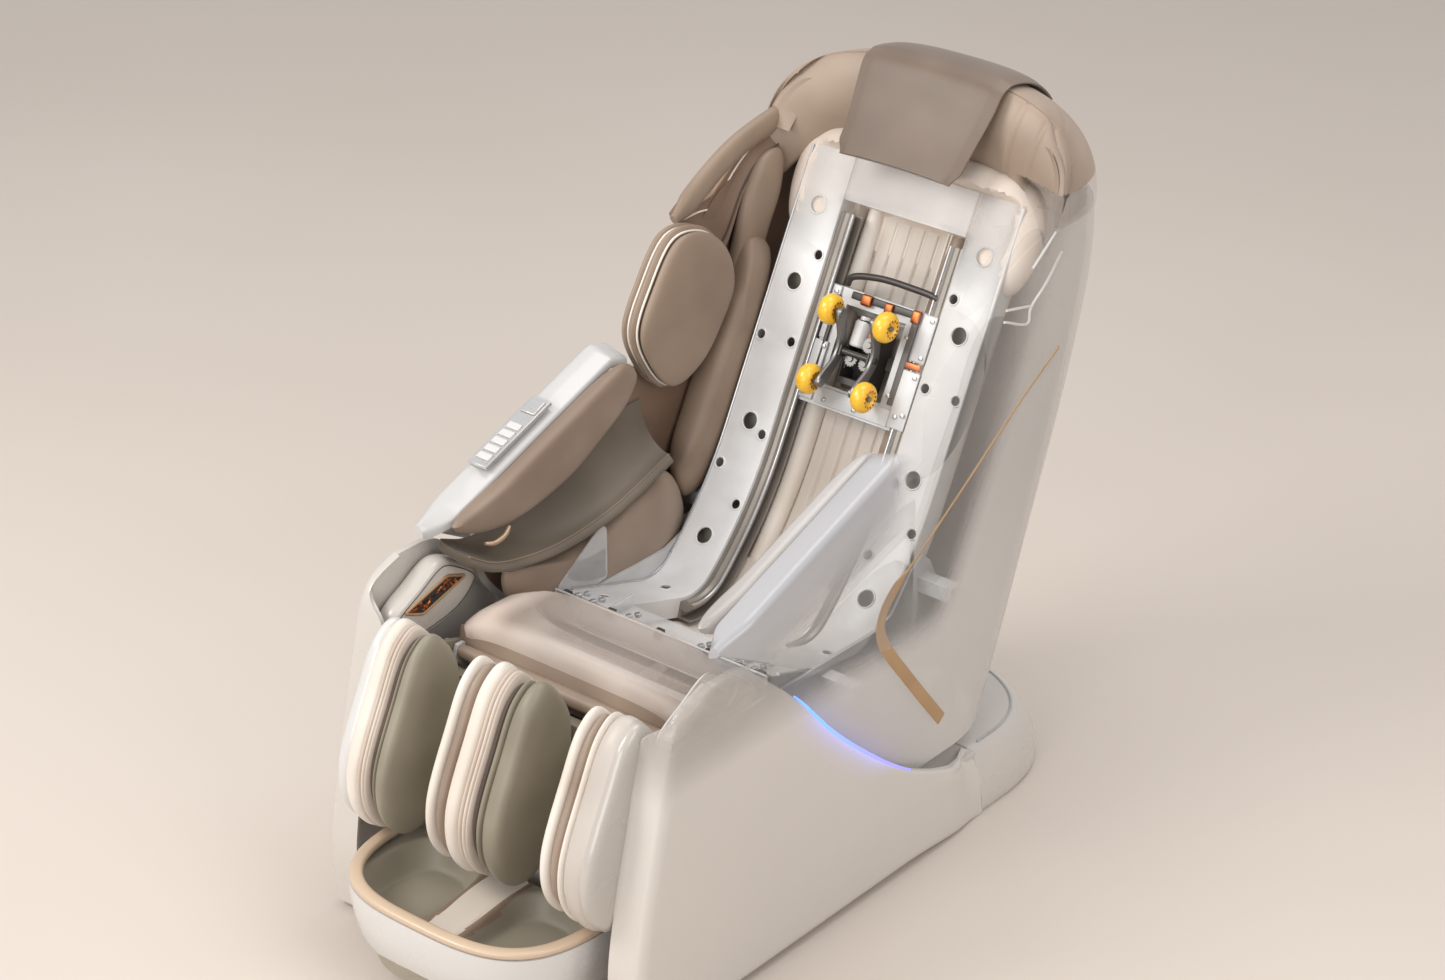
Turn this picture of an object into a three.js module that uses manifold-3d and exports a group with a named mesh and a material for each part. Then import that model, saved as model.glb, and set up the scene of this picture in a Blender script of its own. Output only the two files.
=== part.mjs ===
// A full-body massage chair with a roller track: millimetres, +Z up, the sitter faces -Y.
// "right" and "left" are the sitter's own sides, so left is +X.
import * as THREE from "three";
import { mergeVertices } from "three/addons/utils/BufferGeometryUtils.js";
import Module from "manifold-3d";

const wasm = await Module();
wasm.setup();

// ---------------------------------------------------------------- driving dimensions
const GAP = 0.3; // between pieces that seat on one another

// where things lie across the chair, as half widths from the middle plane
const PLATE_IN = 140, PLATE_OUT = 242; // roller track's pressed side plates
const RAIL_IN = PLATE_IN - 30;
const SEAT_PLATE = 8; // thickness of the seat frame's side plates
const SEAT_BASE = 458; // underside of the seat cushion
const WALL_IN = PLATE_OUT + 83; // side walls of the tilting back shell
const WALL_OUT = WALL_IN + 12;
const PAD_OUT = WALL_IN - 7; // outer face of the padding along the walls
const COVER_IN = WALL_OUT + 8; // fixed side covers of the base
const COVER_OUT = COVER_IN + 25;
const COVER_WALL = 7;
const LEG_HALF = WALL_OUT - 41; // half width of the whole leg rest
const FOOT_HALF = COVER_OUT - 12; // half width of the base's oval foot

// the line that the massage carriage runs on
const TRACK_LEAN = rad(28); // upper, straight part, from vertical
const TRACK_Y = 412, TRACK_Z = 897; // a point on the straight part
const TRACK_TOP_Z = 1125, TRACK_KNEE_Z = 640; // ends of the straight part
const HIP_RADIUS = 760, HIP_LEAN = rad(49);
const SEAT_RADIUS = 85, SEAT_LEAN = rad(108), SEAT_RUN = 215;
const PLATE_WALL = 4, PLATE_DEPTH = 40;
const LINER_CROWN = PLATE_IN - 14, LINER_DEEP = 84, LINER_WALL = 16; // hat-shaped board behind the carriage
const RAIL_WALL = 5, RAIL_FRONT = -6;
const BIG_HOLE = 17, SMALL_HOLE = 10; // radii of the plate's holes

// joints
const PIVOT_Y = 330, PIVOT_Z = 300, PIVOT_R = 12; // the seat unit tilts here
const KNEE_Y = -460, KNEE_Z = 470, KNEE_R = 11; // the leg rest swings here
const LEG_LEAN = rad(16);
const RUNNING = 0.6; // radial clearance round pins

// massage carriage, in its own frame: x across, y along the normal, z up the track
const CARRIAGE_Z = 815, CARRIAGE_TOP_Z = 1004; // height of its middle on the track
const CARRIAGE_HALF = RAIL_IN - 6, CARRIAGE_TALL = 225, CARRIAGE_WALL = 5;
const ROLLER_R = 26, ROLLER_WIDE = 30, ROLLER_X = 62, ROLLER_APART = 134;
const ROLLER_AXLE = 5, ROLLER_OUT = 44, ARM_PIVOT_OUT = 14;
const SHOE_GAP = 0.5, SHOE_LONG = 40; // slide shoes run inside the rails

// arm rest
const ARM_TIP_Y = -460, ARM_TIP_Z = 690, ARM_SLOPE = rad(20.1), ARM_REAR_Y = 58;
const ARM_TOP_OUT = WALL_OUT + 25, ARM_TOP_IN = ARM_TOP_OUT - 62, ARM_WALL = 15;
const PANEL_LONG = 186, PANEL_WIDE = 44, PANEL_TALL = 8;
const PANEL_Y = -222, PANEL_X = -(ARM_TOP_IN + ARM_TOP_OUT) / 2;
const KEY_COUNT = 5, KEY_PITCH = 21, KEY_LONG = 15, KEY_WIDE = 30, KEY_TALL = 7, KEY_PROUD = 2.5;

// foot rest
const TUB_FRONT = -850, TUB_REAR = -535, TUB_HALF = LEG_HALF - 44, TUB_TOP = 184, TUB_BASE = 30;
const TUB_WALL = 12, TUB_FLOOR = 22, RIM_TALL = 14, TUB_BLOCK = 62;
const SLIDE_ROD_R = 8, SLIDE_ROD_X = 150, SLIDE_ROD_V = 29, SLIDE_ROD_TOP = 110;

// base
const FOOT_TALL = 130, FOOT_SEAM_Y = 300, FOOT_REAR = 655, FOOT_REAR_TOP = 572;
const INLET_X = -170, INLET_Y = 600, INLET_Z = 46, INLET_WIDE = 50, INLET_TALL = 30;
const PLINTH_TALL = 60, PLINTH_HALF = FOOT_HALF - 28, PLINTH_FRONT = -540;

function rad(degrees) {
  return (degrees * Math.PI) / 180;
}

// ---------------------------------------------------------------- solids
const chair = new THREE.Group();
const paint = {
  white: new THREE.MeshStandardMaterial({ color: 0xe9e4dc, roughness: 0.25 }),
  ghost: new THREE.MeshStandardMaterial({ color: 0xdcd8d2, roughness: 0.2, transparent: true, opacity: 0.5 }),
  cream: new THREE.MeshStandardMaterial({ color: 0xddd0c2, roughness: 0.6 }),
  tan: new THREE.MeshStandardMaterial({ color: 0xa08b79, roughness: 0.6 }),
  taupe: new THREE.MeshStandardMaterial({ color: 0x7b7363, roughness: 0.65 }),
  gold: new THREE.MeshStandardMaterial({ color: 0xbfa17e, roughness: 0.35 }),
  metal: new THREE.MeshStandardMaterial({ color: 0xd8d7d5, roughness: 0.35, metalness: 0.6 }),
  steel: new THREE.MeshStandardMaterial({ color: 0x8c8a88, roughness: 0.4, metalness: 0.9 }),
  dark: new THREE.MeshStandardMaterial({ color: 0x3c3a3a, roughness: 0.5 }),
  copper: new THREE.MeshStandardMaterial({ color: 0xa8623c, roughness: 0.35, metalness: 0.8 }),
  amber: new THREE.MeshStandardMaterial({ color: 0xf2a51c, roughness: 0.3 }),
  silver: new THREE.MeshStandardMaterial({ color: 0xc9c7c6, roughness: 0.3, metalness: 0.7 }),
};

function add(name, material, geometry) {
  const mesh = new THREE.Mesh(geometry, material);
  mesh.name = name;
  chair.add(mesh);
  return mesh;
}

// The signed volume tells which way a closed mesh faces; one that faces in is turned round.
function facingOut(geometry) {
  const p = geometry.getAttribute("position"), index = geometry.index.array;
  const a = new THREE.Vector3(), b = new THREE.Vector3(), c = new THREE.Vector3();
  let volume = 0;
  for (let i = 0; i < index.length; i += 3) {
    a.fromBufferAttribute(p, index[i]);
    b.fromBufferAttribute(p, index[i + 1]);
    c.fromBufferAttribute(p, index[i + 2]);
    volume += a.dot(b.cross(c));
  }
  if (volume < 0)
    for (let i = 0; i < index.length; i += 3)
      [index[i + 1], index[i + 2]] = [index[i + 2], index[i + 1]];
  return geometry;
}

function geometryOf(points, faces) {
  const geometry = new THREE.BufferGeometry().setFromPoints(points);
  geometry.setIndex(faces);
  return facingOut(geometry);
}

// A closed body through rings of equal length; each end is closed by a fan to its own middle.
function loft(rings) {
  const count = rings[0].length, points = rings.flat(), faces = [];
  for (let i = 0; i + 1 < rings.length; i++)
    for (let j = 0; j < count; j++) {
      const k = (j + 1) % count, a = i * count + j, b = i * count + k;
      faces.push(a, b, b + count, a, b + count, a + count);
    }
  for (const end of [0, rings.length - 1]) {
    const middle = new THREE.Vector3();
    rings[end].forEach((p) => middle.addScaledVector(p, 1 / count));
    points.push(middle);
    for (let j = 0; j < count; j++) {
      const a = end * count + j, b = end * count + ((j + 1) % count);
      if (end) faces.push(a, b, points.length - 1);
      else faces.push(b, a, points.length - 1);
    }
  }
  return geometryOf(points, faces);
}

// A sheet with two faces: face(u, v, side) gives a point for u and v from 0 to 1 and side 0 or 1.
function sheet(face, across, along) {
  const points = [], faces = [], row = across + 1, layer = row * (along + 1);
  for (const side of [0, 1])
    for (let j = 0; j <= along; j++)
      for (let i = 0; i <= across; i++) points.push(face(i / across, j / along, side));
  const quad = (a, b, c, d) => faces.push(a, b, c, a, c, d);
  for (let j = 0; j < along; j++)
    for (let i = 0; i < across; i++) {
      const a = j * row + i;
      quad(a, a + 1, a + row + 1, a + row);
      quad(layer + a, layer + a + row, layer + a + row + 1, layer + a + 1);
    }
  for (let i = 0; i < across; i++) {
    const last = along * row + i;
    quad(i, layer + i, layer + i + 1, i + 1);
    quad(last, last + 1, layer + last + 1, layer + last);
  }
  for (let j = 0; j < along; j++) {
    const a = j * row, b = j * row + across;
    quad(a, a + row, layer + a + row, layer + a);
    quad(b, layer + b, layer + b + row, b + row);
  }
  return geometryOf(points, faces);
}

// Points on a smooth closed curve through a few corner points [u, v].
function closedCurve(corners, count) {
  const places = corners.map(([u, v]) => new THREE.Vector3(u, v, 0));
  const curve = new THREE.CatmullRomCurve3(places, true, "centripetal");
  return curve.getSpacedPoints(count).slice(0, count).map((p) => [p.x, p.y]);
}

// A padded piece: an outline [u, v] drawn in towards its middle as it swells to each face.
// side(w) from -1 to 1 is the place across the thickness; place(u, v, w) puts a point in the chair.
function padded(outline, place, { rings = 10, round = 0.45, crown = 1 } = {}) {
  const middle = [0, 1].map((k) => outline.reduce((sum, p) => sum + p[k], 0) / outline.length);
  const made = [], widest = Math.cos(Math.PI / rings);
  for (let i = 1; i < rings; i++) {
    const angle = (i / rings - 0.5) * Math.PI;
    const shrink = Math.cos(angle) ** round;
    const w = Math.sign(angle) * (Math.abs(Math.sin(angle)) / widest) ** crown;
    made.push(outline.map(([u, v]) =>
      place(middle[0] + (u - middle[0]) * shrink, middle[1] + (v - middle[1]) * shrink, w)));
  }
  return loft(made);
}

// A plate in a vertical fore-and-aft plane, between two places across the chair.
function plate(outline, from, to, holes = []) {
  const points = outline.map(([y, z]) => new THREE.Vector2(y, z));
  if (THREE.ShapeUtils.isClockWise(points)) points.reverse();
  const shape = new THREE.Shape(points);
  holes.forEach(([y, z, r]) => shape.holes.push(new THREE.Path().absarc(y, z, r, 0, 2 * Math.PI, true)));
  const low = Math.min(from, to), high = Math.max(from, to);
  const depth = high - low;
  const geometry = new THREE.ExtrudeGeometry(shape, { depth, bevelEnabled: false, curveSegments: 10 });
  const turn = new THREE.Matrix4().makeBasis(
    new THREE.Vector3(0, 1, 0), new THREE.Vector3(0, 0, 1), new THREE.Vector3(1, 0, 0));
  return geometry.applyMatrix4(turn).translate(low, 0, 0);
}

// A section of points [x, n] carried along a path of {y, z, ny, nz}, with flat ends.
function sweep(section, path) {
  const count = section.length, points = [], faces = [];
  path.forEach((p) => section.forEach(([x, n]) =>
    points.push(new THREE.Vector3(x, p.y + n * p.ny, p.z + n * p.nz))));
  for (let i = 0; i + 1 < path.length; i++)
    for (let j = 0; j < count; j++) {
      const k = (j + 1) % count, a = i * count + j, b = i * count + k;
      faces.push(a, b, b + count, a, b + count, a + count);
    }
  const flat = THREE.ShapeUtils.triangulateShape(section.map(([x, n]) => new THREE.Vector2(x, n)), []);
  const last = (path.length - 1) * count;
  const turned = THREE.ShapeUtils.isClockWise(section.map(([x, n]) => new THREE.Vector2(x, n)));
  flat.forEach(([a, b, c]) => {
    if (turned) faces.push(a, b, c, last + a, last + c, last + b);
    else faces.push(a, c, b, last + a, last + b, last + c);
  });
  return geometryOf(points, faces);
}

const block = (x0, x1, y0, y1, z0, z1) =>
  new THREE.BoxGeometry(Math.abs(x1 - x0), Math.abs(y1 - y0), Math.abs(z1 - z0))
    .translate((x0 + x1) / 2, (y0 + y1) / 2, (z0 + z1) / 2);

function rod(from, to, radius, sides = 16) {
  const a = new THREE.Vector3(...from), b = new THREE.Vector3(...to), way = b.clone().sub(a);
  const up = new THREE.Vector3(0, 1, 0);
  const turn = new THREE.Quaternion().setFromUnitVectors(up, way.clone().normalize());
  return new THREE.CylinderGeometry(radius, radius, way.length(), sides)
    .applyQuaternion(turn).translate(...a.add(b).multiplyScalar(0.5).toArray());
}

function solidOf(geometry) {
  const bare = (geometry.index ? geometry.toNonIndexed() : geometry.clone());
  bare.deleteAttribute("normal");
  bare.deleteAttribute("uv");
  const merged = mergeVertices(bare, 1e-3);
  return new wasm.Manifold(new wasm.Mesh({
    numProp: 3,
    vertProperties: merged.getAttribute("position").array,
    triVerts: new Uint32Array(merged.index.array),
  }));
}

function geometryFrom(solid) {
  const mesh = solid.getMesh(), step = mesh.numProp, points = [];
  for (let i = 0; i < mesh.numVert; i++)
    points.push(new THREE.Vector3(...mesh.vertProperties.subarray(i * step, i * step + 3)));
  return geometryOf(points, Array.from(mesh.triVerts));
}

const join = (...parts) => geometryFrom(parts.map(solidOf).reduce((sum, part) => sum.add(part)));
const cut = (body, ...tools) =>
  geometryFrom(tools.map(solidOf).reduce((left, tool) => left.subtract(tool), solidOf(body)));
const flipX = (geometry) => facingOut(geometry.clone().scale(-1, 1, 1));
const lerp = THREE.MathUtils.lerp, clamp = THREE.MathUtils.clamp, smooth = THREE.MathUtils.smoothstep;

// A value read off a list of [place, value] pairs, straight between them.
function along(table, place) {
  if (place <= table[0][0]) return table[0][1];
  for (let i = 1; i < table.length; i++)
    if (place <= table[i][0])
      return lerp(table[i - 1][1], table[i][1], (place - table[i - 1][0]) / (table[i][0] - table[i - 1][0]));
  return table.at(-1)[1];
}

// Both sides of the chair get the same piece, mirrored; sitter's left is +X.
function pair(name, material, geometry) {
  add(name + "_left", material, geometry);
  add(name + "_right", material, flipX(geometry));
}

// ---------------------------------------------------------------- the track's line
// A point on the track's front face: lean is the line's angle from vertical, n points at the sitter.
const spot = (y, z, lean) => ({ y, z, ny: -Math.cos(lean), nz: Math.sin(lean), lean });
const trackY = (z) => TRACK_Y + (z - TRACK_Z) * Math.tan(TRACK_LEAN);

function bend(start, radius, end, steps) {
  const cy = start.y + radius * start.ny, cz = start.z + radius * start.nz;
  return Array.from({ length: steps }, (_, i) => {
    const lean = lerp(start.lean, end, (i + 1) / steps), p = spot(0, 0, lean);
    return spot(cy - radius * p.ny, cz - radius * p.nz, lean);
  });
}

const top = spot(trackY(TRACK_TOP_Z), TRACK_TOP_Z, TRACK_LEAN);
const knee = spot(trackY(TRACK_KNEE_Z), TRACK_KNEE_Z, TRACK_LEAN);
const hip = bend(knee, HIP_RADIUS, HIP_LEAN, 4);
const seatBend = bend(hip.at(-1), SEAT_RADIUS, SEAT_LEAN, 5);
const seatEnd = spot(
  seatBend.at(-1).y - SEAT_RUN * Math.sin(SEAT_LEAN),
  seatBend.at(-1).z - SEAT_RUN * Math.cos(SEAT_LEAN),
  SEAT_LEAN);
const trackLine = [top, knee, ...hip, ...seatBend, seatEnd];
const onTrack = (z) => spot(trackY(z), z, TRACK_LEAN);
const LINER_TOP_Z = TRACK_TOP_Z - 130;
const offset = (p, x, n) => [x, p.y + n * p.ny, p.z + n * p.nz];

// ---------------------------------------------------------------- base
// The foot is a moulding that is open underneath.
const FOOT_WALL = 7;

function baseFoot() {
  // a D seen from above: straight sides and a half-ellipse at the rear, drawn in towards the top
  const ring = (half, rear, z) => {
    const points = [new THREE.Vector3(-half, FOOT_SEAM_Y, z)];
    points.push(...Array.from({ length: 21 }, (_, i) => {
      const angle = Math.PI - (i / 20) * Math.PI;
      const x = Math.sign(Math.cos(angle)) * Math.abs(Math.cos(angle)) ** 0.8 * half;
      return new THREE.Vector3(x, FOOT_SEAM_Y + 60 + (rear - FOOT_SEAM_Y - 60) * Math.sin(angle) ** 0.8, z);
    }));
    points.push(new THREE.Vector3(half, FOOT_SEAM_Y, z));
    return points;
  };
  const wall = FOOT_WALL;
  const foot = loft([
    ring(FOOT_HALF - 6, FOOT_REAR - 8, 0), ring(FOOT_HALF, FOOT_REAR, 14),
    ring(FOOT_HALF - 4, FOOT_REAR - 10, 55), ring(FOOT_HALF - 16, FOOT_REAR - 34, 98),
    ring(FOOT_HALF - 30, FOOT_REAR - 60, 122), ring(FOOT_HALF - 42, FOOT_REAR_TOP, FOOT_TALL),
  ]);
  const within = block(wall - FOOT_HALF, FOOT_HALF - wall, FOOT_SEAM_Y + wall, FOOT_REAR, -5, FOOT_TALL);
  const hollow = solidOf(loft([
    ring(FOOT_HALF - 18, FOOT_REAR - 20, -1), ring(FOOT_HALF - 4 - 2 * wall, FOOT_REAR - 10 - 2 * wall, 55),
    ring(FOOT_HALF - 30 - 2 * wall, FOOT_REAR - 60 - 2 * wall, FOOT_TALL - wall),
  ])).intersect(solidOf(within));
  const across = INLET_WIDE / 2, up = INLET_TALL / 2;
  const boss = block(INLET_X - across - wall, INLET_X + across + wall, INLET_Y - wall, FOOT_REAR,
    INLET_Z - up - wall, FOOT_TALL);
  const plinth = block(-PLINTH_HALF, PLINTH_HALF, PLINTH_FRONT, FOOT_SEAM_Y + 20, 0, PLINTH_TALL);
  const under = block(wall - PLINTH_HALF, PLINTH_HALF - wall, PLINTH_FRONT + wall, FOOT_SEAM_Y - wall,
    -1, PLINTH_TALL - wall);
  const recess = block(INLET_X - across, INLET_X + across, INLET_Y, FOOT_REAR + 10,
    INLET_Z - up, INLET_Z + up);
  return cut(join(foot, plinth), geometryFrom(hollow.subtract(solidOf(boss))), under, recess);
}

// mains inlet let into the rear of the foot
function powerInlet() {
  const half = INLET_WIDE / 2 - GAP, tall = INLET_TALL / 2 - GAP, y = INLET_Y + GAP;
  const body = block(INLET_X - half, INLET_X + half, y, y + 12, INLET_Z - tall, INLET_Z + tall);
  return cut(body, block(INLET_X - 12, INLET_X + 12, y + 3, y + 20, INLET_Z - 8, INLET_Z + 8));
}

// outline of the fixed side cover: front edge, cap, light arc, foot seam
const COVER_OUTLINE = [
  [-684, 14], [-690, 120], [-672, 255], [-640, 390], [-608, 520], [-582, 598], [-556, 622], [-500, 642],
  [-425, 640], [-380, 610], [-330, 568], [-264, 507], [-215, 452], [-171, 403], [-112, 347], [-54, 297],
  [0, 254], [61, 213], [130, 178], [200, 152], [FOOT_SEAM_Y - GAP, FOOT_TALL], [FOOT_SEAM_Y - GAP, 14],
];
const CAP_OUTLINE = [
  [-572, 500], [-566, 552], [-505, 592], [-440, 622], [-395, 604], [-345, 556], [-400, 505],
];
const LIP_OUTLINE = [
  [-684, 14], [-690, 120], [-672, 255], [-640, 390], [-608, 520], [-582, 598],
  [-568, 590], [-594, 515], [-626, 387], [-658, 253], [-676, 120], [-670, 14],
];

// room inside the cover, open towards the chair's middle
const COVER_POCKET = [
  [-654, 26], [-658, 120], [-644, 250], [-612, 385], [-584, 480], [-420, 480], [-330, 505], [-272, 487],
  [-180, 388], [-64, 281], [52, 197], [140, 154], [200, 130], [288, 108], [288, 26],
];

function sideCover() {
  const lip = plate(LIP_OUTLINE, LEG_HALF + 4, COVER_IN + 1);
  const pocket = plate(COVER_POCKET, COVER_IN - 5, COVER_OUT - COVER_WALL);
  const slab = cut(plate(COVER_OUTLINE, COVER_IN, COVER_OUT), pocket);
  return join(slab, plate(CAP_OUTLINE, ARM_TOP_IN, COVER_IN + 1), lip);
}

const BASE_RAIL_X = PLATE_OUT + 20, BASE_RAIL_WIDE = 10; // uprights that carry the tilt pins
const TILT_FOOT = { y: -300, z: 110 }, TILT_HEAD = { y: -10, z: 306 }; // ends of the tilting actuator
const LEG_FOOT = { y: -170, z: 300 }, LEG_HEAD = { y: -467, z: 410 }; // ends of the leg actuator
const ACTUATOR_R = 19, ACTUATOR_ROD = 9, EYE_R = 16, EYE_WIDE = 16, ACTUATOR_X = 60, PIN_R = 5;
const LOOSE_PIN_R = 3, LOOSE_BORE_R = 11; // the far pin of each actuator has play
const CROSS_BAR = { y: 4, z: 344, half: 10 };

// Two cheeks of the same outline with a pin across, either side of an actuator's eye.
function clevis(outline, x, at, radius) {
  const near = EYE_WIDE / 2 + 1, far = near + 6;
  const cheeks = [-1, 1].map((side) => plate(outline, x + side * near, x + side * far));
  return [...cheeks, rod([x - far + 1, at.y, at.z], [x + far - 1, at.y, at.z], radius, 12)];
}

// An upright of the base frame: it stands on the plinth and carries a tilt pin at its top.
const UPRIGHT_OUTLINE = [
  [140, PLINTH_TALL + 4], [FOOT_SEAM_Y - 4, PLINTH_TALL + 4], [FOOT_SEAM_Y - 4, FOOT_TALL + 20],
  [PIVOT_Y + 26, PIVOT_Z + 8], [PIVOT_Y + 12, PIVOT_Z + 26], [PIVOT_Y - 12, PIVOT_Z + 26],
  [PIVOT_Y - 26, PIVOT_Z + 8],
];

function baseFrame() {
  const parts = [], low = PLINTH_TALL + GAP;
  for (const side of [-1, 1]) {
    const x = side * BASE_RAIL_X, out = side * (BASE_RAIL_X + BASE_RAIL_WIDE);
    parts.push(block(x, side * (BASE_RAIL_X + 20), -520, 280, low, low + 34));
    parts.push(plate(UPRIGHT_OUTLINE, x, out));
    const from = side * (BASE_RAIL_X + 2), to = side * (PLATE_OUT - 6);
    parts.push(rod([from, PIVOT_Y, PIVOT_Z], [to, PIVOT_Y, PIVOT_Z], PIVOT_R, 24));
    for (const y of [-480, -60]) // stays to the side covers
      parts.push(block(out, side * (COVER_OUT - COVER_WALL - GAP), y, y + 20, low, low + 20));
  }
  for (const y of [-500, TILT_FOOT.y - 15, 200])
    parts.push(block(-BASE_RAIL_X - 2, BASE_RAIL_X + 2, y, y + 24, low, low + 24));
  parts.push(...clevis([[TILT_FOOT.y - 13, PLINTH_TALL + 16], [TILT_FOOT.y + 8, PLINTH_TALL + 16],
    [TILT_FOOT.y + 12, TILT_FOOT.z + 10], [TILT_FOOT.y - 12, TILT_FOOT.z + 10]], ACTUATOR_X, TILT_FOOT, PIN_R));
  return join(...parts);
}

// ---------------------------------------------------------------- seat frame and track
// Side plate of the tilting frame: knee hinge in front, tilt pivot behind, track plate between.
const SEAT_PLATE_OUTLINE = [
  [-478, 462], [-468, 484], [-450, 484], [-430, 448], [100, 440], [150, 455], [205, 520], [240, 540],
  [262, 520],
  [PIVOT_Y + 30, PIVOT_Z + 16], [PIVOT_Y + 22, PIVOT_Z - 22], [PIVOT_Y - 6, PIVOT_Z - 32],
  [PIVOT_Y - 40, PIVOT_Z - 18], [150, 330], [-60, 345], [-430, 428], [-468, 446],
];

function seatFrame() {
  const parts = [], bar = CROSS_BAR;
  for (const side of [-1, 1]) {
    const x = side * (PLATE_OUT + GAP), out = side * (PLATE_OUT + GAP + SEAT_PLATE);
    parts.push(plate(SEAT_PLATE_OUTLINE, x, out, [[PIVOT_Y, PIVOT_Z, PIVOT_R + RUNNING]]));
    for (const [y, z] of [[-60, 392], [225, 470]])
      parts.push(block(out - side, side * (WALL_IN - GAP), y, y + 30, z, z + 30));
  }
  parts.push(rod([-LEG_HALF + 16, KNEE_Y, KNEE_Z], [LEG_HALF - 16, KNEE_Y, KNEE_Z], KNEE_R, 20));
  const low = bar.z - bar.half, front = bar.y - bar.half, rest = SEAT_BASE - GAP;
  for (const y of [-410, -330]) // bars under the seat cushion
    parts.push(block(-PLATE_OUT - 2, PLATE_OUT + 2, y, y + 20, rest - 20, rest));
  parts.push(block(-PLATE_OUT - 2, PLATE_OUT + 2, front, bar.y + bar.half, low, bar.z + bar.half));
  parts.push(...clevis([[front, low + 8], [bar.y + bar.half, low + 8], [TILT_HEAD.y + 12, TILT_HEAD.z - 12],
    [TILT_HEAD.y - 12, TILT_HEAD.z - 12]], ACTUATOR_X, TILT_HEAD, LOOSE_PIN_R));
  parts.push(...clevis([[front + 1, low + 18], [front + 1, low - 6], [LEG_FOOT.y + 16, LEG_FOOT.z - 13],
    [LEG_FOOT.y - 12, LEG_FOOT.z - 13], [LEG_FOOT.y - 14, LEG_FOOT.z + 12]], -ACTUATOR_X, LEG_FOOT, PIN_R));
  return join(...parts);
}

// front cross plate that ties the ends of the track's two seat runs
function seatBracket() {
  const y = seatEnd.y - 13 - GAP, low = seatEnd.z - PLATE_DEPTH + 4, parts = [];
  parts.push(block(-PLATE_OUT, PLATE_OUT, y - 6, y, low, seatEnd.z + 6));
  parts.push(block(-PLATE_IN + GAP, PLATE_IN - GAP, y - 1, y + 80, low + 8, low + 14));
  for (const side of [-1, 1]) {
    const x = side * (PLATE_IN + PLATE_OUT) / 2;
    const cheek = side * (PLATE_IN - GAP);
    parts.push(block(cheek, cheek - side * 6, y - 1, y + 80, low + 8, low + 38));
    parts.push(rod([x, y - 12, low + 20], [x, y - 5, low + 20], 9, 6)); // bolt heads
  }
  return join(...parts);
}

function trackPlate() {
  const section = [[PLATE_IN, 0], [PLATE_OUT, 0], [PLATE_OUT, -PLATE_DEPTH],
    [PLATE_OUT - PLATE_WALL, -PLATE_DEPTH], [PLATE_OUT - PLATE_WALL, -PLATE_WALL],
    [PLATE_IN + PLATE_WALL, -PLATE_WALL],
    [PLATE_IN + PLATE_WALL, -PLATE_DEPTH], [PLATE_IN, -PLATE_DEPTH]];
  const web = (PLATE_IN + PLATE_OUT) / 2, edge = 16;
  const holes = [
    [web, onTrack(1029), BIG_HOLE], [web, onTrack(897), BIG_HOLE], [web, onTrack(655), BIG_HOLE],
    [web, hip[2], BIG_HOLE], [PLATE_IN + edge, onTrack(950), SMALL_HOLE],
    [PLATE_IN + edge, onTrack(800), SMALL_HOLE],
    [PLATE_IN + edge, knee, SMALL_HOLE], [PLATE_OUT - edge, onTrack(797), SMALL_HOLE],
    [PLATE_OUT - edge, hip[0], SMALL_HOLE], [PLATE_IN + edge, hip[1], SMALL_HOLE],
    [web, seatBend[4], SMALL_HOLE], [web, seatEnd, SMALL_HOLE],
  ];
  const tools = holes.map(([x, p, r]) => {
    const back = p === seatEnd ? 40 : 0; // the last hole lies a little behind the plate's front end
    const q = { ...p, y: p.y + back * Math.sin(SEAT_LEAN), z: p.z + back * Math.cos(SEAT_LEAN) };
    return rod(offset(q, x, 12), offset(q, x, -14), r, r === BIG_HOLE ? 12 : 6);
  });
  return cut(sweep(section, trackLine), ...tools);
}

function guideRail() {
  const out = PLATE_IN - GAP, back = -PLATE_DEPTH;
  const section = [[RAIL_IN, RAIL_FRONT], [out, RAIL_FRONT], [out, back], [RAIL_IN, back],
    [RAIL_IN, back + RAIL_WALL], [out - RAIL_WALL, back + RAIL_WALL],
    [out - RAIL_WALL, RAIL_FRONT - RAIL_WALL], [RAIL_IN, RAIL_FRONT - RAIL_WALL]];
  return sweep(section, [onTrack(TRACK_TOP_Z - 95), knee, ...hip, ...seatBend]);
}

function trackTopPlate() {
  const half = PLATE_IN - GAP, inner = half - PLATE_WALL, low = onTrack(TRACK_TOP_Z - 75);
  const section = [[-half, 0], [half, 0], [half, -PLATE_DEPTH], [inner, -PLATE_DEPTH], [inner, -PLATE_WALL],
    [-inner, -PLATE_WALL], [-inner, -PLATE_DEPTH], [-half, -PLATE_DEPTH]];
  return sweep(section, [top, low]);
}

// ---------------------------------------------------------------- back shell
// front edge of the side walls, and the two lines that shape the rear, all by height
const WALL_FRONT = [
  [176, 92], [250, -28], [350, -152], [450, -256], [556, -330], [650, -330], [720, -215], [765, -60],
  [800, 125], [880, 125], [960, 178], [1020, 286], [1068, 352], [1094, 420], [1118, 500],
];
const SHELL_HIGH = WALL_FRONT.at(-1)[0];
const WALL_TURN = [[176, 205], [300, 250], [500, 322], [800, 452], [1000, 520], [1118, 530]];
const REAR_LINE = [
  [176, 470], [300, 532], [480, 610], [700, 692], [860, 740], [1000, 770], [1080, 772], [1118, 764],
];

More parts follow.
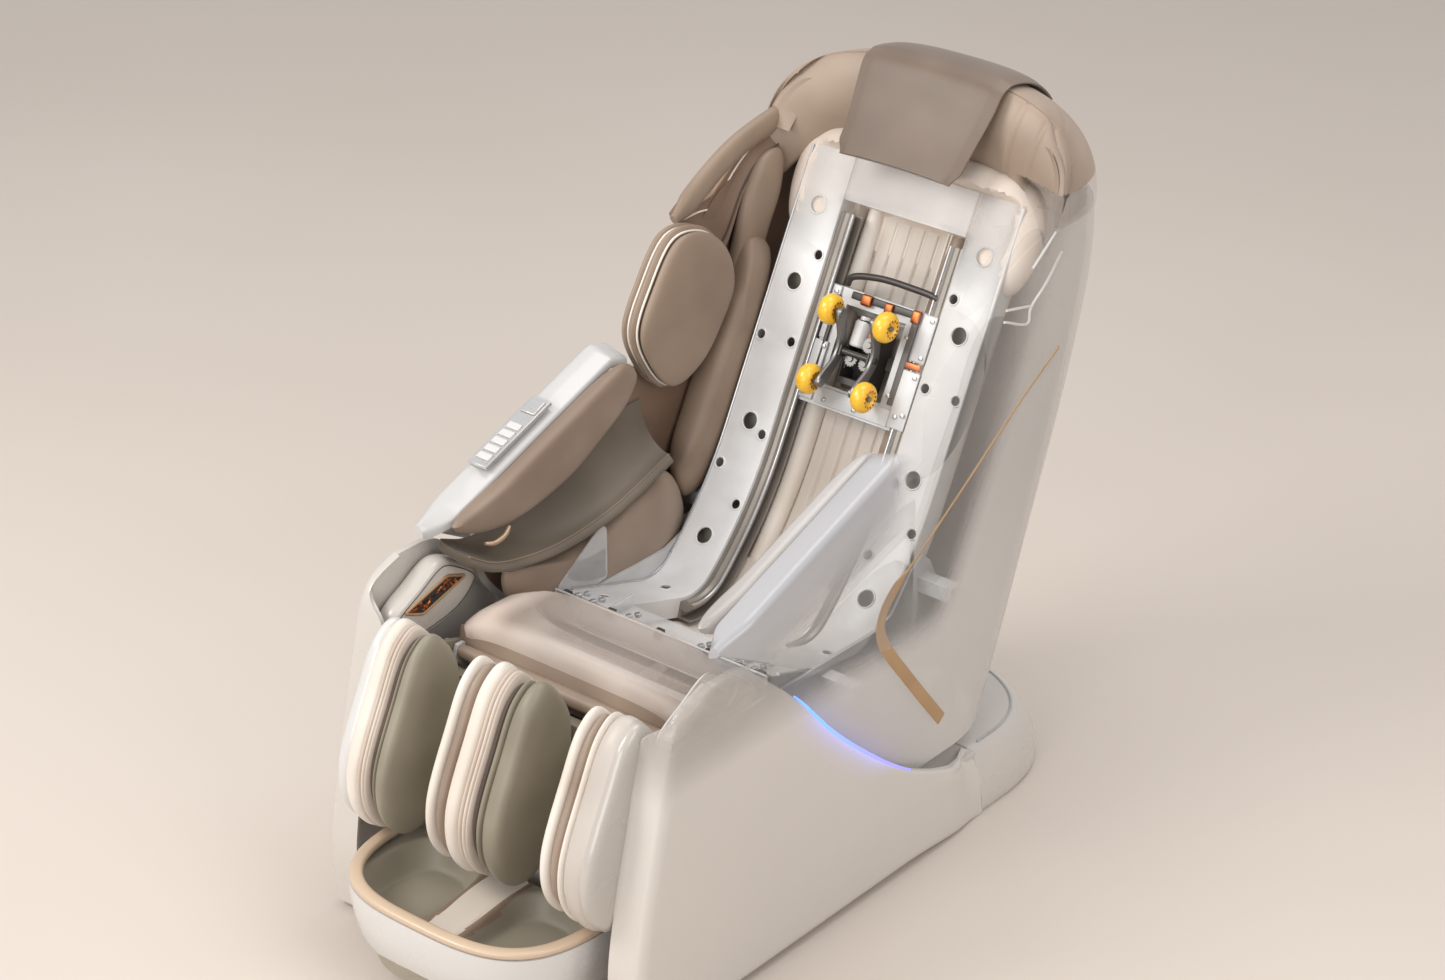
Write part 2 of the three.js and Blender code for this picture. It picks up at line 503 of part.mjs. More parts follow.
function shellPoint(turn, z, inset) {
  // turn goes round the U from the right wall's front edge to the left one's
  const side = turn < 0.5 ? -1 : 1, share = Math.abs(turn - 0.5) * 2; // 1 at the front edges, 0 at the spine
  const half = WALL_OUT - inset, start = along(WALL_TURN, z), front = along(WALL_FRONT, z);
  if (share > 0.5) return new THREE.Vector3(side * half, lerp(start, front, 2 * share - 1), z);
  const angle = share * Math.PI, rear = along(REAR_LINE, z) - inset;
  const y = start + (rear - start) * Math.cos(angle) ** 0.8;
  return new THREE.Vector3(side * half * Math.sin(angle) ** 0.8, y, z);
}

function backShell() {
  const rows = WALL_FRONT.map(([z]) => z), steps = rows.length - 1, thick = WALL_OUT - WALL_IN;
  return sheet((u, v, side) => shellPoint(u, rows[Math.round(v * steps)], side * thick), 16, steps);
}

// ---------------------------------------------------------------- upholstery on the seat unit
function seatCushion() {
  // crowned in front, with a thin apron behind that runs under the track's seat run
  const half = PLATE_OUT + 26, front = -446, rear = -40, apron = 30, step = [seatEnd.y - 104, seatEnd.y - 44];
  const narrow = PLATE_OUT - 6;
  const tilt = SEAT_LEAN - Math.PI / 2, under = seatEnd.z - (PLATE_DEPTH + 3) / Math.cos(tilt);
  return sheet((u, v, side) => {
    const y = lerp(front, rear, v), across = 2 * u - 1, back = smooth(y, ...step);
    const nose = Math.sqrt(1 - (1 - clamp(v / 0.16, 0, 1)) ** 2);
    const tail = clamp((1 - v) / 0.05, 0.6, 1);
    const swell = Math.max(0.2, (1 - Math.abs(across) ** 6) ** 0.5 * lerp(0.35, 1, nose) * tail);
    const wide = lerp(half - 26 * (1 - nose), narrow, smooth(y, step[0] - 40, step[0] + 20));
    const crown = 540 + 18 * (1 - across ** 2) - 0.05 * (y - front);
    const behind = under - Math.tan(tilt) * (y - seatEnd.y);
    const high = lerp(crown, behind, back), low = lerp(SEAT_BASE, behind - apron, back);
    return new THREE.Vector3(across * wide, y, (high + low) / 2 + (side ? -1 : 1) * swell * (high - low) / 2);
  }, 12, 16);
}

// A padded side piece: outline in the fore-and-aft plane, with a boss that seats it on the side wall.
function sidePad(outline, inner, outer, boss, options) {
  const middle = (inner + outer) / 2, half = (outer - inner) / 2;
  const pad = padded(closedCurve(outline, options.points ?? 22),
    (y, z, w) => new THREE.Vector3(middle + half * w, y, z), options);
  if (!boss) return pad;
  return join(pad, rod([middle, ...boss], [WALL_IN - GAP, ...boss], 14, 10));
}

const HIP_OUTLINE = [
  [-306, 552], [-286, 512], [-180, 478], [-20, 462], [90, 468], [146, 520], [112, 580], [30, 566],
  [-60, 538], [-180, 536],
];
const BOLSTER_LOW = [
  [196, 500], [170, 560], [216, 660], [278, 770], [342, 880], [388, 966], [440, 940], [404, 830],
  [340, 700], [290, 600], [240, 520],
];
const BOLSTER_HIGH = [
  [350, 880], [372, 965], [404, 1056], [452, 1108], [500, 1108], [500, 1050], [456, 960],
  [410, 870], [366, 840],
];
const SHOULDER_OUTLINE = [
  [170, 1046], [99, 966], [61, 889], [76, 830], [148, 744], [232, 762], [300, 832], [336, 900],
  [318, 975], [256, 1034],
];

function bolster() {
  const low = sidePad(BOLSTER_LOW, PLATE_OUT + 6, PAD_OUT, [300, 740], { rings: 7, round: 0.4, points: 16 });
  const high = sidePad(BOLSTER_HIGH, PAD_OUT - 38, PAD_OUT, [420, 1040], { rings: 7, round: 0.4, points: 14 });
  return join(low, high);
}

function shoulderPad() {
  // three air cells side by side, largest towards the sitter
  const outline = closedCurve(SHOULDER_OUTLINE, 16), y0 = 200, z0 = 890, out = WALL_IN - 4;
  const stations = [
    ...cell(out - 63, out - 39, 0.93), ...cell(out - 37, out - 19, 1), ...cell(out - 17, out, 1),
    [WALL_IN - GAP, 0.5],
  ];
  return loft(stations.map(([x, share]) =>
    outline.map(([y, z]) => new THREE.Vector3(x, y0 + (y - y0) * share, z0 + (z - z0) * share))));
}

function backLiner() {
  // a hat-shaped board behind the carriage, with sewn channels that run up its middle
  const brim = PLATE_DEPTH + GAP, crown = LINER_CROWN, outer = PLATE_OUT - 6;
  const channels = 6, front = [];
  for (let i = 0; i <= channels * 2; i++) {
    const x = lerp(10 - crown, crown - 10, i / (channels * 2));
    front.push([x, -LINER_DEEP + (i % 2 ? 9 : 0)]);
  }
  const section = [[-outer, -brim], [-crown, -brim], ...front, [crown, -brim], [outer, -brim],
    [outer, -brim - LINER_WALL], [crown + 8, -brim - LINER_WALL], [crown, -LINER_DEEP - LINER_WALL],
    [-crown, -LINER_DEEP - LINER_WALL], [-crown - 8, -brim - LINER_WALL], [-outer, -brim - LINER_WALL]];
  return sweep(section, [onTrack(LINER_TOP_Z), knee, ...hip]);
}

function headPillow() {
  // a crowned cushion with sewn channels; the top of the track is let into it
  const half = PLATE_OUT + 34, low = 968, high = 1172, channels = 7;
  const outline = closedCurve([
    [-half, -40], [-half + 30, -90], [0, -104], [half - 30, -90], [half, -40], [half, 40],
    [half - 40, 88], [0, 102], [40 - half, 88], [-half, 40],
  ], 32);
  const mid = (low + high) / 2;
  const place = (x, v, w) => {
    const z = mid + v, p = onTrack(z);
    const groove = 3.5 * Math.abs(Math.sin((x / half) * channels * Math.PI / 2));
    const n = -30 + (w > 0 ? w * (50 + groove) : w * 50);
    return new THREE.Vector3(...offset(p, x, n));
  };
  const pillow = padded(outline, place, { rings: 10, round: 0.5 });
  const edge = PLATE_OUT + GAP, base = onTrack(low - 60), crown = onTrack(TRACK_TOP_Z);
  const lift = { ...crown, y: crown.y + GAP * Math.sin(TRACK_LEAN), z: crown.z + GAP * Math.cos(TRACK_LEAN) };
  const proud = 60, back = -PLATE_DEPTH - GAP;
  const notch = sweep([[-edge, proud], [edge, proud], [edge, back], [-edge, back]], [lift, base]);
  const brim = PLATE_DEPTH + 2 * GAP + LINER_WALL, crownHalf = LINER_CROWN + 10;
  const deep = LINER_DEEP + LINER_WALL + 1, free = CARRIAGE_HALF + 6, wayDeep = -66;
  const liner = sweep([[-edge, proud], [edge, proud], [edge, -brim], [crownHalf, -brim], [crownHalf - 6, -deep],
    [6 - crownHalf, -deep], [-crownHalf, -brim], [-edge, -brim]], [onTrack(LINER_TOP_Z + GAP), base]);
  const way = sweep([[-free, proud], [free, proud], [free, wayDeep], [-free, wayDeep]],
    [onTrack(CARRIAGE_TOP_Z), base]);
  return cut(pillow, notch, liner, way);
}

// the hood: an arch over the head that closes down behind onto the back shell's upper edge
const HOOD_LOW = SHELL_HIGH + GAP, HOOD_TOP = 1314, HOOD_PROUD = 4, HOOD_WALL = 16, HOOD_RIM = 58;
const HOOD_FRONT_LOW = 488, HOOD_FRONT_TOP = 600; // the front rim leans back from its feet to its crown

function hoodPoint(turn, back, inset) {
  // turn runs over the arch from right to left; back from the front rim (0) to the rear hem (1)
  const angle = Math.PI * turn, rise = Math.sin(angle) ** 0.62, fall = (back * Math.PI) / 2;
  const hem = shellPoint(turn, SHELL_HIGH, inset - HOOD_PROUD);
  const x = -Math.sign(Math.cos(angle)) * Math.abs(Math.cos(angle)) ** 0.72 * (WALL_OUT + HOOD_PROUD - inset);
  const front = lerp(HOOD_FRONT_LOW, HOOD_FRONT_TOP, rise);
  return new THREE.Vector3(
    lerp(x, hem.x, Math.sin(fall) ** 2),
    lerp(front, hem.y, Math.sin(fall)),
    HOOD_LOW + (HOOD_TOP - inset - HOOD_LOW) * rise * Math.cos(fall) ** 0.75,
  );
}

function hood() {
  const skin = sheet((u, v, side) => {
    const inset = side ? lerp(HOOD_RIM, HOOD_WALL, smooth(v, 0, 0.5)) : 0;
    return hoodPoint(lerp(0.02, 0.98, u), v, inset);
  }, 16, 6);
  return join(skin, wing(1), wing(-1));
}

// leather rim that runs from the hood down to the shoulder, round the front edge of the side wall
const WING_LINE = [[258, 1062], [284, 1078], [324, 1100], [388, 1128], [450, 1144], [540, 1158]];

function wing(side) {
  const curve = new THREE.CatmullRomCurve3(WING_LINE.map(([y, z]) => new THREE.Vector3(0, y, z)));
  const steps = 7, sides = 8;
  const rings = curve.getPoints(steps).map((p, i) => {
    const t = curve.getTangent(i / steps), size = i === 0 ? 0.55 : 1;
    return Array.from({ length: sides }, (_, k) => {
      const angle = (2 * Math.PI * (k + 0.5)) / sides;
      const x = WALL_IN + 1 + 17 * size * Math.cos(angle), n = 25 * size * Math.sin(angle);
      return new THREE.Vector3(side * x, p.y - n * t.z, p.z + n * t.y);
    });
  });
  return loft(rings);
}

function headFlap() {
  // a leather strap pad that comes over the hood and lies down to the pillow
  const half = 142;
  const line = [[700, -13], [644, 7.6], [598, 9.6], [578, 2.6], [549, -37], [508, -94], [458, -152]];
  const curve = new THREE.CatmullRomCurve3(line.map(([y, z]) => new THREE.Vector3(0, y, HOOD_TOP + z)));
  return sheet((u, v, side) => {
    const p = curve.getPointAt(v), t = curve.getTangentAt(v);
    const edge = 1 - Math.abs(2 * u - 1) ** 6, depth = (side ? -1 : 1) * lerp(2, 8, edge);
    return new THREE.Vector3(lerp(-half, half, u), p.y + depth * t.z, p.z - depth * t.y);
  }, 6, 10);
}

// ---------------------------------------------------------------- arm rests
const armTop = (y) => (y <= 15 ? ARM_TIP_Z + (y - ARM_TIP_Y) * Math.tan(ARM_SLOPE)
  : ARM_TIP_Z + (15 - ARM_TIP_Y) * Math.tan(ARM_SLOPE) - (y - 15) * 0.3);
const ARM_UNDER = [[-460, 676], [-400, 644], [-330, 604], [-260, 562], [-100, 506], [58, 480]];

function armShell() {
  // an upside-down L in section: a top band that the hand rests on and an outer wall
  const rings = [ARM_TIP_Y, -430, -400, -330, -230, -110, 15, ARM_REAR_Y].map((y) => {
    const high = armTop(y), low = along(ARM_UNDER, y), lip = Math.min(18, (high - low) * 0.8);
    const outer = ARM_TOP_OUT - 10 * (1 - smooth(y, -460, -380));
    const inner = lerp(ARM_TOP_OUT - 32, ARM_TOP_IN, smooth(y, -470, -400));
    const wall = Math.min(outer - 2, ARM_TOP_OUT - ARM_WALL);
    return [[inner, high - 8], [outer - 10, high], [outer, high - 8], [outer, low], [wall, low],
      [wall, high - lip - 4], [inner, high - lip - 8]].map(([x, z]) => new THREE.Vector3(x, y, z));
  });
  const boss = rod([WALL_OUT + GAP, 30, 640], [ARM_TOP_OUT - 8, 30, 640], 16, 12);
  return join(loft(rings), boss);
}

const ARM_PAD_OUTLINE = [
  [-430, 690], [-395, 664], [-300, 645], [-140, 672], [-40, 720], [40, 770], [62, 808],
  [36, 838], [0, 838], [-140, 792], [-300, 734],
];

function armPad() {
  const out = ARM_TOP_IN - GAP;
  return sidePad(ARM_PAD_OUTLINE, out - 38, out, null, { rings: 8, round: 0.3, points: 22 });
}

// inner edge of the forearm scoop
const SCOOP_EDGE = [[-425, 640], [-370, 606], [-300, 584], [-180, 570], [-60, 580], [50, 608], [116, 630]];
const SCOOP_RISE = [[-425, 14], [-300, 42], [-100, 100], [50, 112], [116, 96]];

function armShelf() {
  const outer = PAD_OUT, inner = outer - 80;
  const scoop = sheet((u, v, side) => {
    const y = lerp(-425, 116, v), angle = (u * Math.PI) / 2, thick = side ? 20 : 0;
    const x = lerp(inner, outer, Math.sin(angle)), rise = along(SCOOP_RISE, y) * (1 - Math.cos(angle));
    const z = along(SCOOP_EDGE, y) + rise - thick;
    return new THREE.Vector3(Math.min(x + thick * 0.25 * u, outer + 4), y, z);
  }, 6, 9);
  return join(scoop, rod([outer - 6, -60, 640], [WALL_IN - GAP, -60, 640], 10, 10));
}

// Places a piece on the right arm's sloping top: x across, y along the slope, z up from its face.
function onArm(geometry, along_, up) {
  const y = PANEL_Y + along_ * Math.cos(ARM_SLOPE) - up * Math.sin(ARM_SLOPE);
  const z = armTop(PANEL_Y) + along_ * Math.sin(ARM_SLOPE) + up * Math.cos(ARM_SLOPE);
  return geometry.rotateX(ARM_SLOPE).translate(PANEL_X, y, z);
}

const KEY_START = -PANEL_LONG / 2 + 22, PAD_ALONG = PANEL_LONG / 2 - 26, PAD_LONG = 34;

function controlPanel() {
  const body = block(-PANEL_WIDE / 2, PANEL_WIDE / 2, -PANEL_LONG / 2, PANEL_LONG / 2, 0, PANEL_TALL);
  const pockets = [];
  for (let i = 0; i < KEY_COUNT; i++) {
    const at = KEY_START + i * KEY_PITCH, half = KEY_LONG / 2 + 0.6, wide = KEY_WIDE / 2 + 0.6;
    pockets.push(block(-wide, wide, at - half, at + half, PANEL_TALL + KEY_PROUD - KEY_TALL - 2, 20));
  }
  const half = PAD_LONG / 2 + 0.6;
  pockets.push(block(-16.6, 16.6, PAD_ALONG - half, PAD_ALONG + half, PANEL_TALL - 4, 20));
  return onArm(cut(body, ...pockets), 0, GAP);
}

const key = (i) => {
  const cap = block(-KEY_WIDE / 2, KEY_WIDE / 2, -KEY_LONG / 2, KEY_LONG / 2, 0, KEY_TALL);
  return onArm(cap, KEY_START + i * KEY_PITCH, GAP + PANEL_TALL + KEY_PROUD - KEY_TALL);
};

const touchPad = () =>
  onArm(block(-16, 16, -PAD_LONG / 2, PAD_LONG / 2, 0, 5.5), PAD_ALONG, GAP + PANEL_TALL - 4 + 1.6);

// ---------------------------------------------------------------- massage carriage
// Puts a piece made at the origin on the track: x across, y towards the sitter, z up the line.
const onCarriage = (geometry) => {
  const p = onTrack(CARRIAGE_Z);
  const basis = new THREE.Matrix4().makeBasis(new THREE.Vector3(1, 0, 0), new THREE.Vector3(0, -p.ny, -p.nz),
    new THREE.Vector3(0, Math.sin(TRACK_LEAN), Math.cos(TRACK_LEAN)));
  return geometry.applyMatrix4(basis.setPosition(0, p.y, p.z));
};
// In these frames -y points at the sitter, as it does on the chair.

function carriageFrame() {
  const half = CARRIAGE_HALF, tall = CARRIAGE_TALL / 2, wall = CARRIAGE_WALL, border = 36;
  const face = block(-half, half, 8, 8 + wall, -tall, tall);
  const window_ = block(border - half, half - border, 0, 30, -tall + 42, tall - 30);
  const parts = [cut(face, window_)];
  for (const side of [-1, 1]) {
    parts.push(block(side * half, side * (half - wall), 8, 60, -tall, tall));
    const far = side * (PLATE_IN - GAP - RAIL_WALL - SHOE_GAP);
    const front = -RAIL_FRONT + RAIL_WALL + SHOE_GAP, back = PLATE_DEPTH - RAIL_WALL - SHOE_GAP;
    for (const z of [SHOE_LONG - tall, tall])
      parts.push(block(side * (half - 1), far, front, back, z - SHOE_LONG, z));
  }
  parts.push(block(-half, half, 52, 57, -tall, -tall + 40), block(-half, half, 52, 57, tall - 40, tall));
  parts.push(rod([1 - half, 34, tall - 14], [half - 1, 34, tall - 14], 7, 12));
  return onCarriage(join(...parts));
}

const HEAD_PLATE = 40, MOTOR_R = 19;

function headFrame() {
  const side = 54, parts = [];
  for (const s of [-1, 1]) parts.push(block(s * (side - 20), s * (side - 24), -4, 46, -58, 58));
  parts.push(block(-34, 34, HEAD_PLATE, HEAD_PLATE + 6, -58, 58), block(-34, 34, -4, 2, -58, -46));
  parts.push(rod([-46, -ARM_PIVOT_OUT, 0], [46, -ARM_PIVOT_OUT, 0], 6, 14)); // kneading shaft
  for (const s of [-1, 1]) parts.push(block(s * 30, s * 34, -ARM_PIVOT_OUT - 9, 6, -10, 10));
  const reach = CARRIAGE_HALF - CARRIAGE_WALL - GAP;
  for (const s of [-1, 1]) // slide tongues to the carriage
    parts.push(block(s * 30, s * reach, HEAD_PLATE + 1, HEAD_PLATE + 6, -12, 12));
  return onCarriage(join(...parts));
}

function kneadMotor() {
  const y = HEAD_PLATE - GAP - MOTOR_R;
  return onCarriage(join(rod([0, y, 12], [0, y, 52], MOTOR_R, 20), rod([0, y, 8], [0, y, 14], 12, 16)));
}

function massageArm(side) {
  const x = side * (ROLLER_X - ROLLER_WIDE / 2 - 4), wide = 7, from = x - side * wide;
  const apart = ROLLER_APART / 2, tip = x + side * (ROLLER_WIDE + 5);
  const out = -ROLLER_OUT, pivot = -ARM_PIVOT_OUT;
  const outline = [[pivot + 12, 0], [pivot + 6, 26], [out + 8, apart + 8], [out - 8, apart + 4],
    [out - 8, apart - 10], [pivot - 12, 14], [pivot - 12, -14], [out - 8, 10 - apart],
    [out - 8, -apart - 4], [out + 8, -apart - 8], [pivot + 6, -26]];
  const arm = plate(outline, Math.min(from, x), Math.max(from, x), [[pivot, 0, 6 + RUNNING]]);
  const pins = [-1, 1].map((end) =>
    rod([x - side, out, end * apart], [tip, out, end * apart], ROLLER_AXLE, 12));
  return onCarriage(join(arm, ...pins));
}

function roller(side, end) {
  // a soft round roller with a dished face and a bore for its pin
  const bore = ROLLER_AXLE + RUNNING, hub = 11, lip = ROLLER_WIDE / 2;
  const profile = [[bore, -hub], [hub, -hub], [15, -lip], [ROLLER_R - 3, -9], [ROLLER_R, 0],
    [ROLLER_R - 3, 9], [15, lip], [hub, hub], [bore, hub], [bore, -hub]];
  const geometry = new THREE.LatheGeometry(profile.map(([r, h]) => new THREE.Vector2(r, h)), 12);
  geometry.rotateZ(-Math.PI / 2).translate(side * (ROLLER_X + 1), -ROLLER_OUT, (end * ROLLER_APART) / 2);
  return onCarriage(geometryFrom(solidOf(geometry)));
}

// ---------------------------------------------------------------- leg rest
// A point of the leg rest: u runs down the leg from the knee, v towards the front.
const onLeg = (x, u, v) => new THREE.Vector3(
  x,
  KNEE_Y - u * Math.sin(LEG_LEAN) - v * Math.cos(LEG_LEAN),
  KNEE_Z - u * Math.cos(LEG_LEAN) + v * Math.sin(LEG_LEAN));
const legBlock = (x0, x1, u0, u1, v0, v1) =>
  block(x0, x1, -v1, -v0, -u1, -u0).rotateX(-LEG_LEAN).translate(0, KNEE_Y, KNEE_Z);

const FIN_OUTLINE = [
  [-75, 150], [-45, 185], [54, 210], [199, 228], [272, 200], [312, 140], [300, 90], [247, 58],
  [63, 50], [-22, 76],
];
const FIN_MIDDLE = [110, 135];
const finRing = (share) => closedCurve(FIN_OUTLINE, 18).map(([u, v]) =>
  [FIN_MIDDLE[0] + (u - FIN_MIDDLE[0]) * share, FIN_MIDDLE[1] + (v - FIN_MIDDLE[1]) * share]);

// A fin is a row of padded cells: stations are [place across, share of the outline].
function fin(stations) {
  return loft(stations.map(([x, share]) => finRing(share).map(([u, v]) => onLeg(x, u, v))));
}
function cell(from, to, share) {
  return [[0, 0.8], [0.14, 0.94], [0.5, 1], [0.86, 0.94], [1, 0.8]]
    .map(([place, size]) => [lerp(from, to, place), share * size]);
}
const PAD_CELL = 30, GROOVE = 0.86, FIN_SHELL = LEG_HALF - 24, FIN_IN = FIN_SHELL - 94, MID_FIN = 85;

const outerFin = () => fin([
  ...cell(FIN_IN, FIN_IN + PAD_CELL, 0.97), [FIN_IN + PAD_CELL + 8, GROOVE], [FIN_IN + PAD_CELL + 14, GROOVE],
  ...cell(FIN_IN + PAD_CELL + 20, FIN_SHELL - GAP, 1)]);
const middleFin = () => fin([
  ...cell(-MID_FIN, PAD_CELL - MID_FIN, 0.97),
  [PAD_CELL + 7 - MID_FIN, GROOVE], [PAD_CELL + 12 - MID_FIN, GROOVE],
  ...cell(PAD_CELL + 16 - MID_FIN, MID_FIN - PAD_CELL - 16, 1), [MID_FIN - PAD_CELL - 12, GROOVE],
  [MID_FIN - PAD_CELL - 7, GROOVE], ...cell(MID_FIN - PAD_CELL, MID_FIN, 0.97)]);
const finCover = () =>
  fin([[FIN_SHELL, 0.95], [FIN_SHELL + 12, 0.96], [LEG_HALF - 4, 0.9], [LEG_HALF, 0.8]]);

const BOARD_BACK = 10, BOARD_FRONT = 46, BOARD_END = 288, EAR_OUT = LEG_HALF - 30, EAR_WIDE = 12;

function legBoard() {
  const board = legBlock(-LEG_HALF + 12, LEG_HALF - 12, 26, BOARD_END, BOARD_BACK, BOARD_FRONT);
  const parts = [board];
  for (const side of [-1, 1]) {
    parts.push(legBlock(side * (EAR_OUT - EAR_WIDE), side * EAR_OUT, -16, 40, -15, BOARD_FRONT - 2));
    for (const x of [(side * (FIN_IN + FIN_SHELL)) / 2, side * MID_FIN * 0.4]) // posts that carry the fins
      parts.push(legBlock(x - 8, x + 8, 90, 210, BOARD_FRONT - 1, BOARD_FRONT + 3));
  }
  const { y, z } = LEG_HEAD;
  parts.push(...clevis([[y - 26, z + 14], [y + 12, z + 12], [y + 12, z - 12], [y - 26, z - 14]],
    -ACTUATOR_X, LEG_HEAD, LOOSE_PIN_R));
  const body = join(...parts);
  const bores = [-1, 1].map((side) => {
    const from = onLeg(side * SLIDE_ROD_X, BOARD_END + 5, SLIDE_ROD_V);
    const to = onLeg(side * SLIDE_ROD_X, SLIDE_ROD_TOP - 20, SLIDE_ROD_V);
    return rod(from.toArray(), to.toArray(), SLIDE_ROD_R + RUNNING, 14);
  });
  const hinge = rod([-LEG_HALF, KNEE_Y, KNEE_Z], [LEG_HALF, KNEE_Y, KNEE_Z], KNEE_R + RUNNING, 20);
  return cut(body, hinge, ...bores);
}

// ---------------------------------------------------------------- foot rest
// The tub seen from above: a flat back and a broad rounded front.
function tubRing(inset, z) {
  const half = TUB_HALF - inset, front = TUB_FRONT + inset, rear = TUB_REAR - inset, points = [];
  for (let i = 0; i <= 20; i++) {
    const angle = (i / 20) * Math.PI;
    const x = Math.sign(Math.cos(angle)) * Math.abs(Math.cos(angle)) ** 0.62 * half;
    points.push(new THREE.Vector3(x, lerp(rear - 60, front, Math.sin(angle) ** 0.62), z));
  }
  points.push(new THREE.Vector3(-half, rear, z), new THREE.Vector3(half, rear, z));
  return points;
}

function footTub() {
  const outer = loft([
    tubRing(66, TUB_BASE), tubRing(40, TUB_BASE + 8), tubRing(12, 90), tubRing(0, TUB_TOP - 20),
    tubRing(0, TUB_TOP),
  ]);
  const shape = loft([
    tubRing(TUB_WALL + 46, TUB_BASE + TUB_FLOOR), tubRing(TUB_WALL + 14, 96), tubRing(TUB_WALL, TUB_TOP + 10),
  ]);
  const half = TUB_HALF - 30;
  const rear = block(-half, half, TUB_REAR - TUB_BLOCK, TUB_REAR - 8, TUB_BASE + 8, TUB_TOP - 16);
  const rods = [-1, 1].map((side) => rod(
    onLeg(side * SLIDE_ROD_X, BOARD_END + 60, SLIDE_ROD_V).toArray(),
    onLeg(side * SLIDE_ROD_X, SLIDE_ROD_TOP, SLIDE_ROD_V).toArray(), SLIDE_ROD_R, 14));
  return join(cut(outer, shape), rear, ...rods);
}

function tubRim() {
  const low = TUB_TOP + GAP, high = low + RIM_TALL;
  const outer = loft([tubRing(2, low), tubRing(-2, low + 4), tubRing(0, high - 4), tubRing(5, high)]);
  const hole = loft([tubRing(26, low - 5), tubRing(22, high + 5)]);
  const back = block(-TUB_HALF - 20, TUB_HALF + 20, TUB_REAR - 62, TUB_REAR + 30, low - 5, high + 5);
  return cut(outer, hole, back);
}

function footLiner() {
  // padded insert with two foot wells and a ridge between them
  const floor = TUB_BASE + TUB_FLOOR + GAP, high = TUB_TOP - 14, rearCut = TUB_REAR - TUB_BLOCK - GAP;
  const body = loft([
    tubRing(TUB_WALL + 50, floor + 2), tubRing(TUB_WALL + 17, 96), tubRing(TUB_WALL + 4, high),
  ]);
  const back = block(-TUB_HALF, TUB_HALF, rearCut, TUB_REAR + 30, 0, 300);
  const wide = TUB_HALF - 44, middle = [TUB_HALF - 132, -710];
  const well = (side) => {
    const outline = closedCurve([
      [36, rearCut - 4], [30, -720], [60, -822], [middle[0] + 20, -826], [wide - 12, -786], [wide, -700],
      [wide - 8, rearCut - 4],
    ], 20);
    const ring = (share, z) => outline.map(([x, y]) => new THREE.Vector3(
      side * lerp(middle[0], x, share), lerp(middle[1], y, share), z));
    return loft([
      ring(0.62, floor + 16), ring(0.84, floor + 26), ring(0.97, floor + 62), ring(1.03, high + 10),
    ]);
  };
  return cut(body, back, well(1), well(-1));
}

// ---------------------------------------------------------------- actuators
function actuator(from, to, x, bodyShare) {
  // the body's eye turns on `from`; the shaft slides out of the body towards `to`
  const dy = to.y - from.y, dz = to.z - from.z, long = Math.hypot(dy, dz), end = long * bodyShare;
  const at = (s, dx = 0) => [x + dx, from.y + (dy * s) / long, from.z + (dz * s) / long];
  const eye = (s) => rod(at(s, -EYE_WIDE / 2), at(s, EYE_WIDE / 2), EYE_R, 16);
  const bore = (s, radius) => rod(at(s, -EYE_WIDE), at(s, EYE_WIDE), radius, 12);
  const hollow = rod(at(44), at(end + 5), ACTUATOR_ROD + RUNNING, 12);
  const body = cut(join(rod(at(32), at(end), ACTUATOR_R, 16), eye(0), rod(at(6), at(40), 8, 10)),
    bore(0, PIN_R + RUNNING), hollow);
  const shaft = cut(join(rod(at(50), at(long - 6), ACTUATOR_ROD, 12), eye(long)), bore(long, LOOSE_BORE_R));
  return { body, shaft };
}

// ---------------------------------------------------------------- assembly
add("base_foot", paint.white, baseFoot());
add("power_inlet", paint.dark, powerInlet());
add("base_frame", paint.dark, baseFrame());
pair("side_cover", paint.white, sideCover());
add("power_box", paint.dark, block(-210, -60, -150, 120, PLINTH_TALL + GAP, PLINTH_TALL + 75));

add("seat_frame", paint.steel, seatFrame());
pair("track_plate", paint.metal, trackPlate());
add("track_top_plate", paint.metal, trackTopPlate());
add("seat_bracket", paint.silver, seatBracket());
pair("guide_rail", paint.steel, guideRail());
add("seat_cushion", paint.cream, seatCushion());
const hipOptions = { rings: 8, round: 0.4, points: 22 };
pair("hip_cushion", paint.tan, sidePad(HIP_OUTLINE, PLATE_OUT + 6, PAD_OUT - 12, [-20, 505], hipOptions));
add("back_liner", paint.cream, backLiner());
add("head_pillow", paint.cream, headPillow());
add("head_flap", paint.tan, headFlap());
add("hood", paint.tan, hood());
pair("back_bolster", paint.tan, bolster());
pair("shoulder_pad", paint.tan, shoulderPad());
add("back_shell", paint.ghost, backShell());
pair("arm_shell", paint.white, armShell());
pair("arm_pad", paint.tan, armPad());
pair("arm_shelf", paint.taupe, armShelf());
add("control_panel", paint.silver, controlPanel());
for (let i = 0; i < KEY_COUNT; i++) add(`key_${i + 1}`, paint.silver, key(i));
add("touch_pad", paint.silver, touchPad());

add("carriage_frame", paint.metal, carriageFrame());
add("head_frame", paint.dark, headFrame());
add("knead_motor", paint.copper, kneadMotor());
for (const [side, word] of [[1, "left"], [-1, "right"]]) {
  add(`massage_arm_${word}`, paint.steel, massageArm(side));
  add(`roller_upper_${word}`, paint.amber, roller(side, 1));
  add(`roller_lower_${word}`, paint.amber, roller(side, -1));
}

add("leg_board", paint.taupe, legBoard());
pair("fin", paint.cream, outerFin());
add("fin_middle", paint.cream, middleFin());
pair("fin_cover", paint.white, finCover());
add("foot_tub", paint.white, footTub());
add("tub_rim", paint.gold, tubRim());
add("foot_liner", paint.taupe, footLiner());

